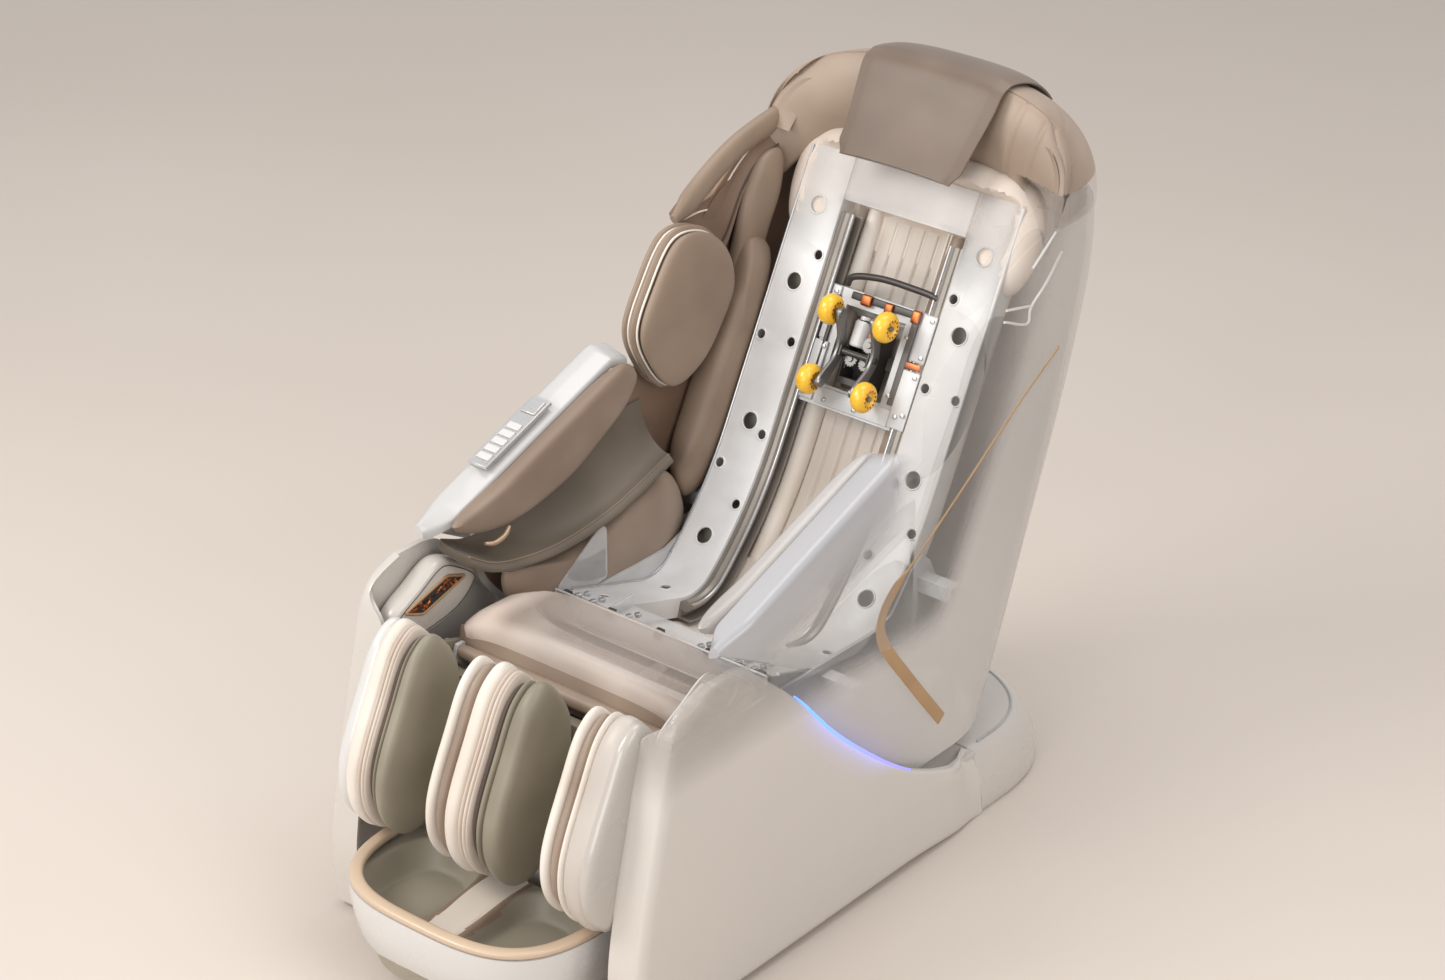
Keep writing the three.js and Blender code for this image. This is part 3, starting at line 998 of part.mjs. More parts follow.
const tilt = actuator(TILT_FOOT, TILT_HEAD, ACTUATOR_X, 0.72);
add("tilt_actuator_body", paint.dark, tilt.body);
add("tilt_actuator_rod", paint.steel, tilt.shaft);
const lift = actuator(LEG_FOOT, LEG_HEAD, -ACTUATOR_X, 0.7);
add("leg_actuator_body", paint.dark, lift.body);
add("leg_actuator_rod", paint.steel, lift.shaft);

// the origin is on the floor under the middle of the chair's box
const box = new THREE.Box3().setFromObject(chair);
chair.position.y = -(box.min.y + box.max.y) / 2;
export default chair;
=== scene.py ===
"""A full-body massage chair with an open roller track, dressed for rendering.

Sizes are written in the chair's own millimetres, and world() puts them in the frame in metres.
The sitter faces -Y and the sitter's left is +X, which is the side that is shown see-through.
"""
import logging
import math
from dataclasses import dataclass
from enum import Enum
from typing import Any, Callable, ClassVar, Iterable, Optional, Sequence, Union

import bmesh
import bpy
import numpy as np
from mathutils import Matrix, Vector

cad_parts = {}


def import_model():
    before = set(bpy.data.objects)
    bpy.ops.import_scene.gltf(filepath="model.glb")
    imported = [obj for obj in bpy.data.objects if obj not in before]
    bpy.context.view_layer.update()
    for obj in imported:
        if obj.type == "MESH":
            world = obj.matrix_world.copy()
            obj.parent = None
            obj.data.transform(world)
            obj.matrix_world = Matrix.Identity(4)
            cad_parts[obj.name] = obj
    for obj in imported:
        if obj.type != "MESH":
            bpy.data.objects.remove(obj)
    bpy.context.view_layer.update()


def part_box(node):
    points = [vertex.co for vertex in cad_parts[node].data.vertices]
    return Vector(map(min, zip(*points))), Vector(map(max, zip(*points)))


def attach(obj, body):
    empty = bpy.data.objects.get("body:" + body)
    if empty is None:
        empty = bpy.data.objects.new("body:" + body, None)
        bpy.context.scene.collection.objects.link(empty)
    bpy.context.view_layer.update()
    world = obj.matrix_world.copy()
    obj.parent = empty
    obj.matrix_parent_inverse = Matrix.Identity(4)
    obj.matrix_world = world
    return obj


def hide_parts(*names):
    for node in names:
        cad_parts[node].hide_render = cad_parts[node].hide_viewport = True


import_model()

Array = np.ndarray
log = logging.getLogger("chair")
TINY = 1e-9  # keeps a division clear of zero
SHARP = 32.0  # degrees from which an edge is sharp, unless a piece says otherwise
TRACK_SLOPE = math.tan(math.radians(28))  # how far the track goes back for each step up
PLINTH_FRONT = -540.0  # the chair's own y of the foot's front edge, which places everything
SHIFT = np.array([0.0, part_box("base_foot")[0][1] - PLINTH_FRONT / 1000, 0.0])


class Side(Enum):
    """A side of the chair, by its sign along X."""

    LEFT = 1
    RIGHT = -1

    @property
    def word(self) -> str:
        """The side's word in node names."""
        return self.name.lower()

    def pick(self, near: Any, far: Any) -> Any:
        """The first on the see-through side, and the second on the far one."""
        return near if self is Side.LEFT else far


# ------------------------------------------------------------------ curves and grids
def world(points: Array) -> Array:
    """Chair millimetres to frame metres.

    Args:
        points: An array whose last axis is x, y, z in millimetres.
    Returns:
        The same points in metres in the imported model's frame.
    """
    return np.asarray(points, float) / 1000 + SHIFT


def smooth(x: Array, low: float, high: float) -> Array:
    """Smoothstep: 0 below low, 1 above high, and 3t^2 - 2t^3 between."""
    t = np.clip((np.asarray(x, float) - low) / (high - low), 0, 1)
    return t * t * (3 - 2 * t)


def lerp(a: Array, b: Array, t: Array) -> Array:
    """Straight mix of a and b."""
    return a + (b - a) * t


def unit(vectors: Array) -> Array:
    """Vectors on the last axis, scaled to length 1."""
    return vectors / np.maximum(np.linalg.norm(vectors, axis=-1, keepdims=True), TINY)


def bulged(wave: Array, power: float) -> Array:
    """A superellipse's coordinate: a cosine or sine raised to a power, with its sign kept."""
    return np.sign(wave) * np.abs(wave) ** power


def at_x(line: Array, x: float) -> Array:
    """A line of [y, z] set at one x."""
    return np.column_stack([np.full(len(line), x), line])


def beside(rows: Array, x: float, n: float) -> Array:
    """A line at x and at a distance n in front of rows of [y, z, ny, nz]."""
    return at_x(rows[:, :2] + n * rows[:, 2:4], x)


def crease(x: Array, at: float, width: float) -> Array:
    """A sewn line's depth across x: 1 at its place, falling off as exp(-t^2) with t in widths."""
    return np.exp(-(((x - at) / width) ** 2))


def tapered(count: int, start: float, power: float) -> Array:
    """A roll's size along it, up to 1: a sine from start to pi - start, raised to a power."""
    return np.sin(np.linspace(start, np.pi - start, count)) ** power


def circle(count: int) -> Array:
    """Angles evenly round a circle, from 0."""
    return np.linspace(0, 2 * np.pi, count, endpoint=False)


def table(pairs: Sequence[Sequence[float]], at: Array) -> Array:
    """Value read off [place, value] pairs by cubic Hermite pieces.

    Slopes are the mean of both neighbours' chords, and 0 where the values turn, so nothing overshoots.

    Args:
        pairs: Places in rising order with their values.
        at: Places to read.
    Returns:
        Values at those places, held level past both ends.
    """
    px, py = np.array(pairs, float).T
    chord = np.diff(py) / np.diff(px)
    slope = np.concatenate([[chord[0]], (chord[:-1] + chord[1:]) / 2, [chord[-1]]])
    slope[1:-1][chord[:-1] * chord[1:] <= 0] = 0
    x = np.clip(np.asarray(at, float), px[0], px[-1])
    i = np.clip(np.searchsorted(px, x, side="right") - 1, 0, len(px) - 2)
    h = px[i + 1] - px[i]
    t = (x - px[i]) / h
    a, b = (1 + 2 * t) * (1 - t) ** 2, t * t * (3 - 2 * t)
    return py[i] * a + py[i + 1] * b + h * (slope[i] * t * (1 - t) ** 2 - slope[i + 1] * t * t * (1 - t))


def curve(corners: Sequence[Sequence[float]], count: int, closed: bool = False) -> Array:
    """Evenly spaced points on a centripetal Catmull-Rom curve through corner points.

    Args:
        corners: Corner points of any dimension.
        count: How many points come back.
        closed: Whether the curve returns to its start.
    Returns:
        An array of count points.
    """
    p = np.array(corners, float)
    if closed:
        p = np.concatenate([p[-1:], p, p[:2]])
    else:
        p = np.concatenate([2 * p[:1] - p[1:2], p, 2 * p[-1:] - p[-2:-1]])
    fine = []
    for a, b, c, d in zip(p[:-3], p[1:-2], p[2:-1], p[3:]):
        k = [0.0]
        for q, r in ((a, b), (b, c), (c, d)):
            k.append(k[-1] + max(np.linalg.norm(r - q), TINY) ** 0.5)
        t = np.linspace(k[1], k[2], 24, endpoint=False)[:, None]
        ab = (k[1] - t) / (k[1] - k[0]) * a + (t - k[0]) / (k[1] - k[0]) * b
        bc = (k[2] - t) / (k[2] - k[1]) * b + (t - k[1]) / (k[2] - k[1]) * c
        cd = (k[3] - t) / (k[3] - k[2]) * c + (t - k[2]) / (k[3] - k[2]) * d
        abc = (k[2] - t) / (k[2] - k[0]) * ab + (t - k[0]) / (k[2] - k[0]) * bc
        bcd = (k[3] - t) / (k[3] - k[1]) * bc + (t - k[1]) / (k[3] - k[1]) * cd
        fine.append((k[2] - t) / (k[2] - k[1]) * abc + (t - k[1]) / (k[2] - k[1]) * bcd)
    line = np.concatenate([*fine, p[-2][None]])
    return spaced(line, count + 1)[:-1] if closed else spaced(line, count)


def spaced(line: Array, count: int) -> Array:
    """Points at equal distances along a polyline."""
    gone = np.concatenate([[0], np.cumsum(np.linalg.norm(np.diff(line, axis=0), axis=1))])
    at = np.linspace(0, gone[-1], count)
    return np.stack([np.interp(at, gone, line[:, k]) for k in range(line.shape[1])], axis=1)


def fillet(corners: Sequence[Sequence[float]], radius: float, steps: int = 4) -> Array:
    """A closed polygon with each corner swapped for a quadratic Bezier arc.

    Args:
        corners: The polygon's corner points.
        radius: Distance from a corner at which its arc starts, cut to 45% of its shorter edge.
        steps: Points on each arc.
    Returns:
        The rounded polygon's points.
    """
    p = np.array(corners, float)
    before, after = np.roll(p, 1, 0) - p, np.roll(p, -1, 0) - p
    lengths = [np.linalg.norm(v, axis=1, keepdims=True) for v in (before, after)]
    reach = np.minimum(radius, 0.45 * np.minimum(*lengths))
    a, b = p + before / lengths[0] * reach, p + after / lengths[1] * reach
    t = np.linspace(0, 1, steps)[None, :, None]
    arc = (1 - t) ** 2 * a[:, None] + 2 * t * (1 - t) * p[:, None] + t * t * b[:, None]
    return arc.reshape(-1, p.shape[1])


def inset(outline: Array, by: float) -> Array:
    """A closed outline moved inwards by a distance along the mean normal of its two edges."""
    edge = unit(np.roll(outline, -1, 0) - outline)
    tangent = unit(edge + np.roll(edge, 1, 0))
    x, y = outline.T
    turn = np.sign(np.sum(x * np.roll(y, -1) - np.roll(x, -1) * y))
    return outline + by * turn * np.stack([-tangent[:, 1], tangent[:, 0]], axis=1)


# ------------------------------------------------------------------ meshes
def grid_faces(rows: int, cols: int, wrap: bool = False) -> list:
    """Quads of a rows x cols grid of points, joined round when wrap is set."""
    index = np.arange(rows * cols).reshape(rows, cols)
    if wrap:
        index = np.concatenate([index, index[:, :1]], axis=1)
    quads = [index[:-1, :-1], index[:-1, 1:], index[1:, 1:], index[1:, :-1]]
    return np.stack(quads, axis=-1).reshape(-1, 4).tolist()


def outward(points: Array, faces: list) -> list:
    """Faces turned so that the closed mesh's signed volume is positive."""
    volume = 0.0
    for size in {len(f) for f in faces}:
        corners = points[np.array([f for f in faces if len(f) == size])]
        for k in range(1, size - 1):
            volume += np.einsum("ij,ij->", corners[:, 0], np.cross(corners[:, k], corners[:, k + 1]))
    return faces if volume > 0 else [f[::-1] for f in faces]


def make(name: str, points: Array, faces: list, sharp: float = SHARP) -> bpy.types.Object:
    """A mesh object at the origin with smooth faces and sharp edges past an angle.

    Args:
        name: The piece's name.
        points: Places in chair millimetres.
        faces: Lists of point numbers.
        sharp: Angle in degrees from which an edge is sharp.
    Returns:
        The new object.
    """
    placed = world(points)
    mesh = bpy.data.meshes.new(name)
    mesh.from_pydata(placed.tolist(), [], outward(placed, faces))
    mesh.shade_smooth()
    mesh.set_sharp_from_angle(angle=math.radians(sharp))
    mesh.validate()
    obj = bpy.data.objects.new(name, mesh)
    bpy.context.scene.collection.objects.link(obj)
    return obj


def lofted(rings: Array, fan: bool = True) -> tuple:
    """A closed body through rings of equal length.

    Args:
        rings: Array of rings x points x 3.
        fan: Whether each end is a fan to its middle, or else one flat face.
    Returns:
        Points and faces.
    """
    count, around = rings.shape[:2]
    points, faces = rings.reshape(-1, 3), grid_faces(count, around, wrap=True)
    ends = [list(range(around)), list(range((count - 1) * around, count * around))]
    ends[0] = ends[0][::-1]
    for end in ends:
        if fan:
            points = np.concatenate([points, points[end].mean(0, keepdims=True)])
            middle = len(points) - 1
            faces += [[a, b, middle] for a, b in zip(end, end[1:] + end[:1])]
        else:
            faces.append(end)
    return points, faces


def looped(rings: Array) -> tuple:
    """A body through rings whose last one joins the first."""
    count, around = rings.shape[:2]
    total = count * around
    return rings.reshape(-1, 3), [[i % total for i in f] for f in grid_faces(count + 1, around, wrap=True)]


def sheeted(front: Array, back: Array) -> tuple:
    """A closed sheet from its two faces, each a rows x cols x 3 grid, joined round the edge."""
    rows, cols = front.shape[:2]
    total = rows * cols
    points = np.concatenate([front.reshape(-1, 3), back.reshape(-1, 3)])
    faces = grid_faces(rows, cols) + [[total + i for i in f[::-1]] for f in grid_faces(rows, cols)]
    index = np.arange(total).reshape(rows, cols)
    rim = np.concatenate([index[0, :-1], index[:-1, -1], index[-1, :0:-1], index[:0:-1, 0]])
    after = np.roll(rim, -1)
    faces += np.stack([after, rim, total + rim, total + after], axis=1).tolist()
    return points, faces


def swept(section: Array, path: Array, fan: bool = False) -> tuple:
    """A closed section [x, n] carried along a path of [y, z, ny, nz, ...]: point = path + n * normal."""
    x, n = np.asarray(section, float).T
    y = path[:, 0, None] + n[None] * path[:, 2, None]
    z = path[:, 1, None] + n[None] * path[:, 3, None]
    return lofted(np.stack([np.broadcast_to(x, y.shape), y, z], axis=-1), fan)


def tubed(path: Array, radius: Union[float, Array], sides: int = 8, closed: bool = False) -> tuple:
    """A round tube along a path: circles in the plane of each point's tangent.

    Args:
        path: Points x 3.
        radius: One radius, or one for each point.
        sides: Points round the tube.
        closed: Whether the path returns to its start.
    Returns:
        Points and faces.
    """
    p = np.asarray(path, float)
    tangent = unit(np.roll(p, -1, 0) - np.roll(p, 1, 0) if closed else np.gradient(p, axis=0))
    spread = np.abs(tangent).mean(0)
    across = unit(np.cross(tangent, np.eye(3)[int(np.argmin(spread))]))
    up = np.cross(tangent, across)
    angle = circle(sides)
    size = np.broadcast_to(np.asarray(radius, float), len(p))[:, None, None]
    ring = np.cos(angle)[None, :, None] * across[:, None] + np.sin(angle)[None, :, None] * up[:, None]
    rings = p[:, None] + size * ring
    return looped(rings) if closed else lofted(rings)


def knob(foot: Sequence[float], axis: Sequence[float], heights: tuple, radii: tuple, sides: int) -> tuple:
    """A boss that rises from its foot along an axis: straight to one height, narrower at the next."""
    foot, axis = np.asarray(foot, float), np.asarray(axis, float)
    line = np.array([foot, foot + heights[0] * axis, foot + heights[1] * axis])
    return tubed(line, np.array([radii[0], *radii]), sides)


def slabbed(outline: Array, low: float, high: float, edge: float) -> tuple:
    """A plate across x with rounded edges: rings [x, inset] follow a quarter circle at each face."""
    angle = np.linspace(0, np.pi / 2, 4)
    close = [(low, edge * 1.5)]
    close += [(low + edge * (1 - math.sin(a)), edge * (1 - math.cos(a))) for a in angle[::-1]]
    far = [(high - (x - low), by) for x, by in close[::-1]]
    return lofted(np.array([at_x(inset(outline, by), x) for x, by in close + far]), fan=False)


def cushion(
    outline: Array, place: Callable[[Array, Array, Array], Array], rings: int = 22, soft: float = 0.45
) -> tuple:
    """A padded body: an outline [u, v] drawn in towards its middle as it swells to each face.

    At angle a from -90 to 90 degrees the outline shrinks by cos(a)^soft and lies at w = sin(a).

    Args:
        outline: Closed outline.
        place: Puts arrays u, v, w in the chair as x, y, z on the last axis.
        rings: Steps from face to face.
        soft: Roundness of the edge, from square at 0.
    Returns:
        Points and faces.
    """
    angle = (np.arange(1, rings) / rings - 0.5) * np.pi
    shrink = (np.cos(angle) ** soft)[:, None]
    w = np.sin(angle)[:, None] / math.cos(math.pi / rings)
    middle = outline.mean(0)
    u = middle[0] + (outline[None, :, 0] - middle[0]) * shrink
    v = middle[1] + (outline[None, :, 1] - middle[1]) * shrink
    return lofted(place(u, v, np.broadcast_to(w, u.shape)))


def standing(outline: Array, low: float, high: float, rings: int = 22, soft: float = 0.45) -> tuple:
    """A cushion whose outline [y, z] stands upright, from x = low to x = high."""
    middle, half = (low + high) / 2, (high - low) / 2
    return cushion(outline, lambda u, v, w: np.stack([middle + half * w, u, v], axis=-1), rings, soft)


def merged(*parts: tuple) -> tuple:
    """Several bodies as one list of points and faces."""
    points, faces, start = [], [], 0
    for p, f in parts:
        points.append(p)
        faces += [[start + i for i in face] for face in f]
        start += len(p)
    return np.concatenate(points), faces


def mirrored(body: tuple, side: Side) -> tuple:
    """A body on the given side: x changes sign on the right."""
    return body[0] * np.array([side.value, 1, 1]), body[1]


def apply_modifiers(obj: bpy.types.Object) -> None:
    """Puts the result of an object's modifiers in its mesh, and takes them off."""
    graph = bpy.context.evaluated_depsgraph_get()
    mesh = bpy.data.meshes.new_from_object(obj.evaluated_get(graph))
    obj.modifiers.clear()
    obj.data = mesh


def drilled(obj: bpy.types.Object, tools: Iterable[tuple]) -> bpy.types.Object:
    """Cuts bodies out of an object by an exact boolean, applied at once."""
    cutter = make(obj.name + "_cutter", *merged(*tools))
    boolean = obj.modifiers.new("holes", "BOOLEAN")
    boolean.object = cutter
    boolean.solver = "EXACT"
    bpy.context.view_layer.update()
    apply_modifiers(obj)
    bpy.data.objects.remove(cutter)
    obj.data.shade_smooth()
    obj.data.set_sharp_from_angle(angle=math.radians(SHARP))
    return obj


# ------------------------------------------------------------------ shader graph
class Signal:
    """A shader socket that takes part in Python arithmetic through Math nodes."""

    def __init__(self, graph: "Graph", socket: bpy.types.NodeSocket) -> None:
        """Wraps one output socket of a graph."""
        self.graph = graph
        self.socket = socket

    def _math(self, operation: str, *values: Union["Signal", float]) -> "Signal":
        """A Math node on the given values."""
        return self.graph.node("ShaderNodeMath", {"operation": operation}, dict(enumerate(values)))

    def __add__(self, other: Union["Signal", float]) -> "Signal":
        """Sum."""
        return self._math("ADD", self, other)

    def __sub__(self, other: Union["Signal", float]) -> "Signal":
        """Difference."""
        return self._math("SUBTRACT", self, other)

    def __rsub__(self, other: float) -> "Signal":
        """Difference from a number."""
        return self._math("SUBTRACT", other, self)

    def __mul__(self, other: Union["Signal", float]) -> "Signal":
        """Product."""
        return self._math("MULTIPLY", self, other)

    def __pow__(self, other: float) -> "Signal":
        """Power."""
        return self._math("POWER", self, other)

    __radd__ = __add__
    __rmul__ = __mul__


Level = Union[Signal, float, Sequence[float]]


def srgb(red: int, green: int, blue: int) -> tuple:
    """A colour in 0..255 screen values as linear RGBA."""
    def linear(v: float) -> float:
        """One channel."""
        return v / 12.92 if v <= 0.04045 else ((v + 0.055) / 1.055) ** 2.4
    return (*(linear(v / 255) for v in (red, green, blue)), 1.0)


def shaded(tone: tuple, share: float) -> tuple:
    """A colour with its three channels scaled."""
    return (*(share * channel for channel in tone[:3]), 1.0)


class Graph:
    """A material's node tree, built by calls."""

    def __init__(self, name: str) -> None:
        """Starts an empty material."""
        self.material = bpy.data.materials.new(name)
        self.material.use_nodes = True
        self.tree = self.material.node_tree
        self.tree.nodes.clear()
        self.place = self.node("ShaderNodeTexCoord", output="Object")
        self._axes = None

    @classmethod
    def of(cls, material: bpy.types.Material) -> "Graph":
        """Opens a finished material again."""
        graph = cls.__new__(cls)
        graph.material, graph.tree, graph._axes = material, material.node_tree, None
        graph.place = graph.node("ShaderNodeTexCoord", output="Object")
        return graph

    def feed(self, name: str, value: Signal) -> None:
        """Links a signal to a socket of the material's Principled shader."""
        shader = next(n for n in self.tree.nodes if n.type == "BSDF_PRINCIPLED")
        self.tree.links.new(value.socket, shader.inputs[name])

    def attribute(self, name: str) -> Signal:
        """A mesh attribute's value."""
        return self.node("ShaderNodeAttribute", {"attribute_name": name}, output="Fac")

    def node(
        self, kind: str, settings: Optional[dict] = None, inputs: Optional[dict] = None,
        output: Union[int, str] = 0,
    ) -> Signal:
        """Adds any node.

        Args:
            kind: The node's type.
            settings: Attributes set before the sockets; "stops" gives a colour ramp's places and colours.
            inputs: Values or signals by socket name or number.
            output: The socket that comes back.
        Returns:
            The node's output as a signal.
        """
        node = self.tree.nodes.new(kind)
        for key, value in (settings or {}).items():
            if key == "stops":
                while len(node.color_ramp.elements) < len(value):
                    node.color_ramp.elements.new(0.5)
                for element, (place, colour) in zip(node.color_ramp.elements, value):
                    element.position, element.color = place, colour
            else:
                setattr(node, key, value)
        for key, value in (inputs or {}).items():
            if isinstance(value, Signal):
                self.tree.links.new(value.socket, node.inputs[key])
            else:
                node.inputs[key].default_value = value
        return Signal(self, node.outputs[output])

    def axis(self, letter: str) -> Signal:
        """One of the X, Y or Z object coordinates, in metres."""
        if self._axes is None:
            self._axes = self.node("ShaderNodeSeparateXYZ", inputs={0: self.place})
        return Signal(self, self._axes.socket.node.outputs[letter])

    def noise(self, scale: float, detail: float = 2.0, stretch: Sequence[float] = (1, 1, 1)) -> Signal:
        """Noise from 0 to 1, with the coordinates stretched first."""
        place = self.place
        if tuple(stretch) != (1, 1, 1):
            place = self.node("ShaderNodeMapping", inputs={"Vector": place, "Scale": stretch})
        return self.node("ShaderNodeTexNoise", inputs={"Vector": place, "Scale": scale, "Detail": detail})

    def cells(self, scale: float) -> Signal:
        """Distance to the nearest of scattered points, for grain."""
        return self.node("ShaderNodeTexVoronoi", inputs={"Vector": self.place, "Scale": scale})

    def between(self, value: Signal, low: float, high: float, start: float = 0.0, end: float = 1.0) -> Signal:
        """Smooth map of value from low..high to start..end."""
        return self.node(
            "ShaderNodeMapRange", {"interpolation_type": "SMOOTHSTEP"},
            {"Value": value, "From Min": low, "From Max": high, "To Min": start, "To Max": end})

    def mix(self, share: Level, a: Level, b: Level) -> Signal:
        """Colour a mixed into colour b by share."""
        return self.node(
            "ShaderNodeMix", {"data_type": "RGBA"}, {0: share, 6: a, 7: b}, output=2)

    def facing(self, blend: float = 0.3) -> Signal:
        """How edge-on the surface is, from 0 to 1."""
        return self.node("ShaderNodeLayerWeight", inputs={"Blend": blend}, output="Facing")

    def bump(self, height: Signal, strength: float, distance: float) -> Signal:
        """A normal bent by a height."""
        return self.node(
            "ShaderNodeBump", inputs={"Height": height, "Strength": strength, "Distance": distance})

    def finish(self, **sockets: Level) -> bpy.types.Material:
        """Feeds a Principled shader and returns the material; _ in a name stands for a space."""
        inputs = {name.replace("_", " "): value for name, value in sockets.items()}
        shader = self.node("ShaderNodeBsdfPrincipled", inputs=inputs)
        out = self.tree.nodes.new("ShaderNodeOutputMaterial")
        self.tree.links.new(shader.socket, out.inputs["Surface"])
        return self.material


@dataclass(frozen=True)
class Leather:
    """Grained upholstery leather; thin is its cover on the see-through side."""

    name: str
    tone: tuple
    shade: tuple
    rough: float = 0.46
    thin: Optional[float] = None

    def material(self) -> bpy.types.Material:
        """Colour drifts with broad noise; the grain is cells 1 mm across, in bump and in roughness."""
        g = Graph(self.name)
        grain = g.cells(950.0)
        pores = g.noise(420.0, 3.0)
        drift = g.noise(5.0, 2.0)
        colour = g.mix(g.between(drift, 0.3, 0.7), self.tone, self.shade)
        colour = g.mix(g.between(grain, 0.1, 0.75, 0.10, 0.0), colour, self.shade)
        sockets = dict(
            Base_Color=colour, Roughness=self.rough + 0.14 * (pores - 0.5),
            Normal=g.bump(grain * 0.7 + pores * 0.3, 0.16, 0.0003), Sheen_Weight=0.12, Sheen_Roughness=0.4)
        if self.thin is not None:
            sockets["Alpha"] = g.facing(0.25) * 0.06 + self.thin
        return g.finish(**sockets)


@dataclass(frozen=True)
class HoodHide(Leather):
    """Hood leather that thins at its lower end on the see-through side."""

    def material(self) -> bpy.types.Material:
        """As leather; its cover falls below the hood's near end."""
        material = super().material()
        g = Graph.of(material)
        near = g.between(g.axis("X"), 0.2, 0.24)
        g.feed("Alpha", 1.0 - 0.9 * near * g.between(g.axis("Z"), 1.172, 1.178, 1.0, 0.0))
        return material


@dataclass(frozen=True)
class SeatHide(Leather):
    """Seat leather that thins where the bracket below it is shown."""

    left: float = 0.30

    def material(self) -> bpy.types.Material:
        """As leather; its cover falls behind the nose and comes back near the right arm."""
        material = super().material()
        g = Graph.of(material)
        kept = g.between(g.axis("Y"), -0.43, -0.37, 1.0, self.left)
        far = g.between(g.axis("X"), -0.15, -0.215, 0.0, 1.0)
        g.feed("Alpha", kept + (1.0 - kept) * far)
        return material


@dataclass(frozen=True)
class Gloss:
    """Moulded glossy plastic with a clear coat."""

    name: str
    tone: tuple
    rough: float = 0.24
    coat: float = 0.6

    def material(self) -> bpy.types.Material:
        """Faint colour drift, roughness that drifts with it, and a very shallow orange-peel bump."""
        g = Graph(self.name)
        drift = g.noise(7.0, 3.0)
        peel = g.noise(260.0, 1.0)
        return g.finish(
            Base_Color=g.mix(drift, self.tone, shaded(self.tone, 0.94)), Roughness=self.rough + 0.08 * drift,
            Normal=g.bump(peel, 0.03, 0.0003), Coat_Weight=self.coat, Coat_Roughness=0.06)


@dataclass(frozen=True)
class Ghost:
    """The see-through shell: its cover rises from the top of the chair down to the floor."""

    name: str
    tone: tuple
    high: float
    low: float
    top: float
    base: float
    solid_side: bool = False
    slope: float = 0.0
    edge: float = 0.22
    glow: Optional[tuple] = None
    fade: Optional[tuple] = None

    def material(self) -> bpy.types.Material:
        """Cover follows height (less slope times depth) between top and base, and grows edge-on.

        With solid_side it is full on the far side; glow tints the surface by its "glow" attribute.
        """
        g = Graph(self.name)
        drift = g.noise(4.0, 2.0)
        level = g.axis("Z") - self.slope * g.axis("Y") if self.slope else g.axis("Z")
        cover = g.between(level, self.base, self.top, self.low, self.high)
        cover = cover + g.facing(0.35) * self.edge
        if self.solid_side:
            near = g.between(g.axis("X"), 0.02, 0.16)
            ahead = g.between(g.axis("Y") - TRACK_SLOPE * g.axis("Z"), -0.06, 0.02, 1.0, 0.0)
            ahead = ahead * g.between(g.axis("Z"), 0.42, 0.5)
            cover = near * cover * (1.0 - 0.85 * ahead) + (1.0 - near)
        if self.fade is not None:
            cover = cover * g.between(g.axis("Y"), *self.fade, 1.0, 0.0)
        sockets = dict(
            Base_Color=g.mix(drift, self.tone, shaded(self.tone, 0.93)),
            Roughness=0.22 + 0.06 * drift, Alpha=cover,
            Normal=g.bump(g.noise(240.0, 1.0), 0.03, 0.0003), Coat_Weight=0.5, Coat_Roughness=0.05)
        if self.glow is not None:
            sockets["Emission_Color"] = g.mix(g.attribute("glow"), (0.0, 0.0, 0.0, 1.0), self.glow)
            sockets["Emission_Strength"] = 0.7
        return g.finish(**sockets)


@dataclass(frozen=True)
class Metal:
    """Bare or painted metal, brushed or cast."""

    name: str
    tone: tuple
    rough: float
    metallic: float = 1.0
    brushed: Sequence[float] = (1, 1, 1)
    scale: float = 90.0
    depth: float = 0.08

    def material(self) -> bpy.types.Material:
        """Streaks from stretched noise drive roughness and bump, and a broad noise the tarnish."""
        g = Graph(self.name)
        streak = g.noise(self.scale, 4.0, self.brushed)
        drift = g.noise(9.0, 2.0)
        return g.finish(
            Base_Color=g.mix(g.between(drift, 0.25, 0.75), self.tone, shaded(self.tone, 0.82)),
            Metallic=self.metallic,
            Roughness=self.rough + 0.18 * (streak - 0.5), Normal=g.bump(streak, self.depth, 0.0004))


@dataclass(frozen=True)
class Pearl:
    """Pearly white lacquer on the track, thinning to clear where the pressing runs under the seat."""

    name: str
    tone: tuple
    top_clear: float = 0.34
    seat_clear: float = 0.72

    def material(self) -> bpy.types.Material:
        """Cover falls at the top edge over the pillow and along the seat run, by height and depth."""
        g = Graph(self.name)
        flake = g.cells(1500.0)
        drift = g.noise(12.0, 2.0)
        high = g.between(g.axis("Z"), 0.93, 1.07, 0.0, 1.0 - self.top_clear)
        seat = g.between(g.axis("Y"), 0.09, -0.10, 0.0, 1.0 - self.seat_clear)
        cover = 1.0 - high - seat
        return g.finish(
            Base_Color=g.mix(g.between(drift, 0.3, 0.7), self.tone, shaded(self.tone, 0.9)), Metallic=0.02,
            Roughness=0.4 + 0.08 * drift, Alpha=cover, Coat_Weight=0.3, Coat_Roughness=0.14,
            Normal=g.bump(flake, 0.02, 0.0002))


@dataclass(frozen=True)
class Amber:
    """Translucent-looking massage rubber, yellow on its crown and orange in its dished sides."""

    name: str
    crown: tuple
    dish: tuple

    def material(self) -> bpy.types.Material:
        """Colour follows the noise of the casting; a little light passes through the skin."""
        g = Graph(self.name)
        spots = g.cells(190.0)
        drift = g.noise(60.0, 2.0)
        return g.finish(
            Base_Color=g.mix(g.between(drift + spots * 0.2, 0.55, 1.15), self.crown, self.dish),
            Roughness=0.2 + 0.1 * drift, Coat_Weight=0.5, Coat_Roughness=0.08,
            Subsurface_Weight=0.15, Subsurface_Scale=0.006, Normal=g.bump(spots, 0.05, 0.0004))


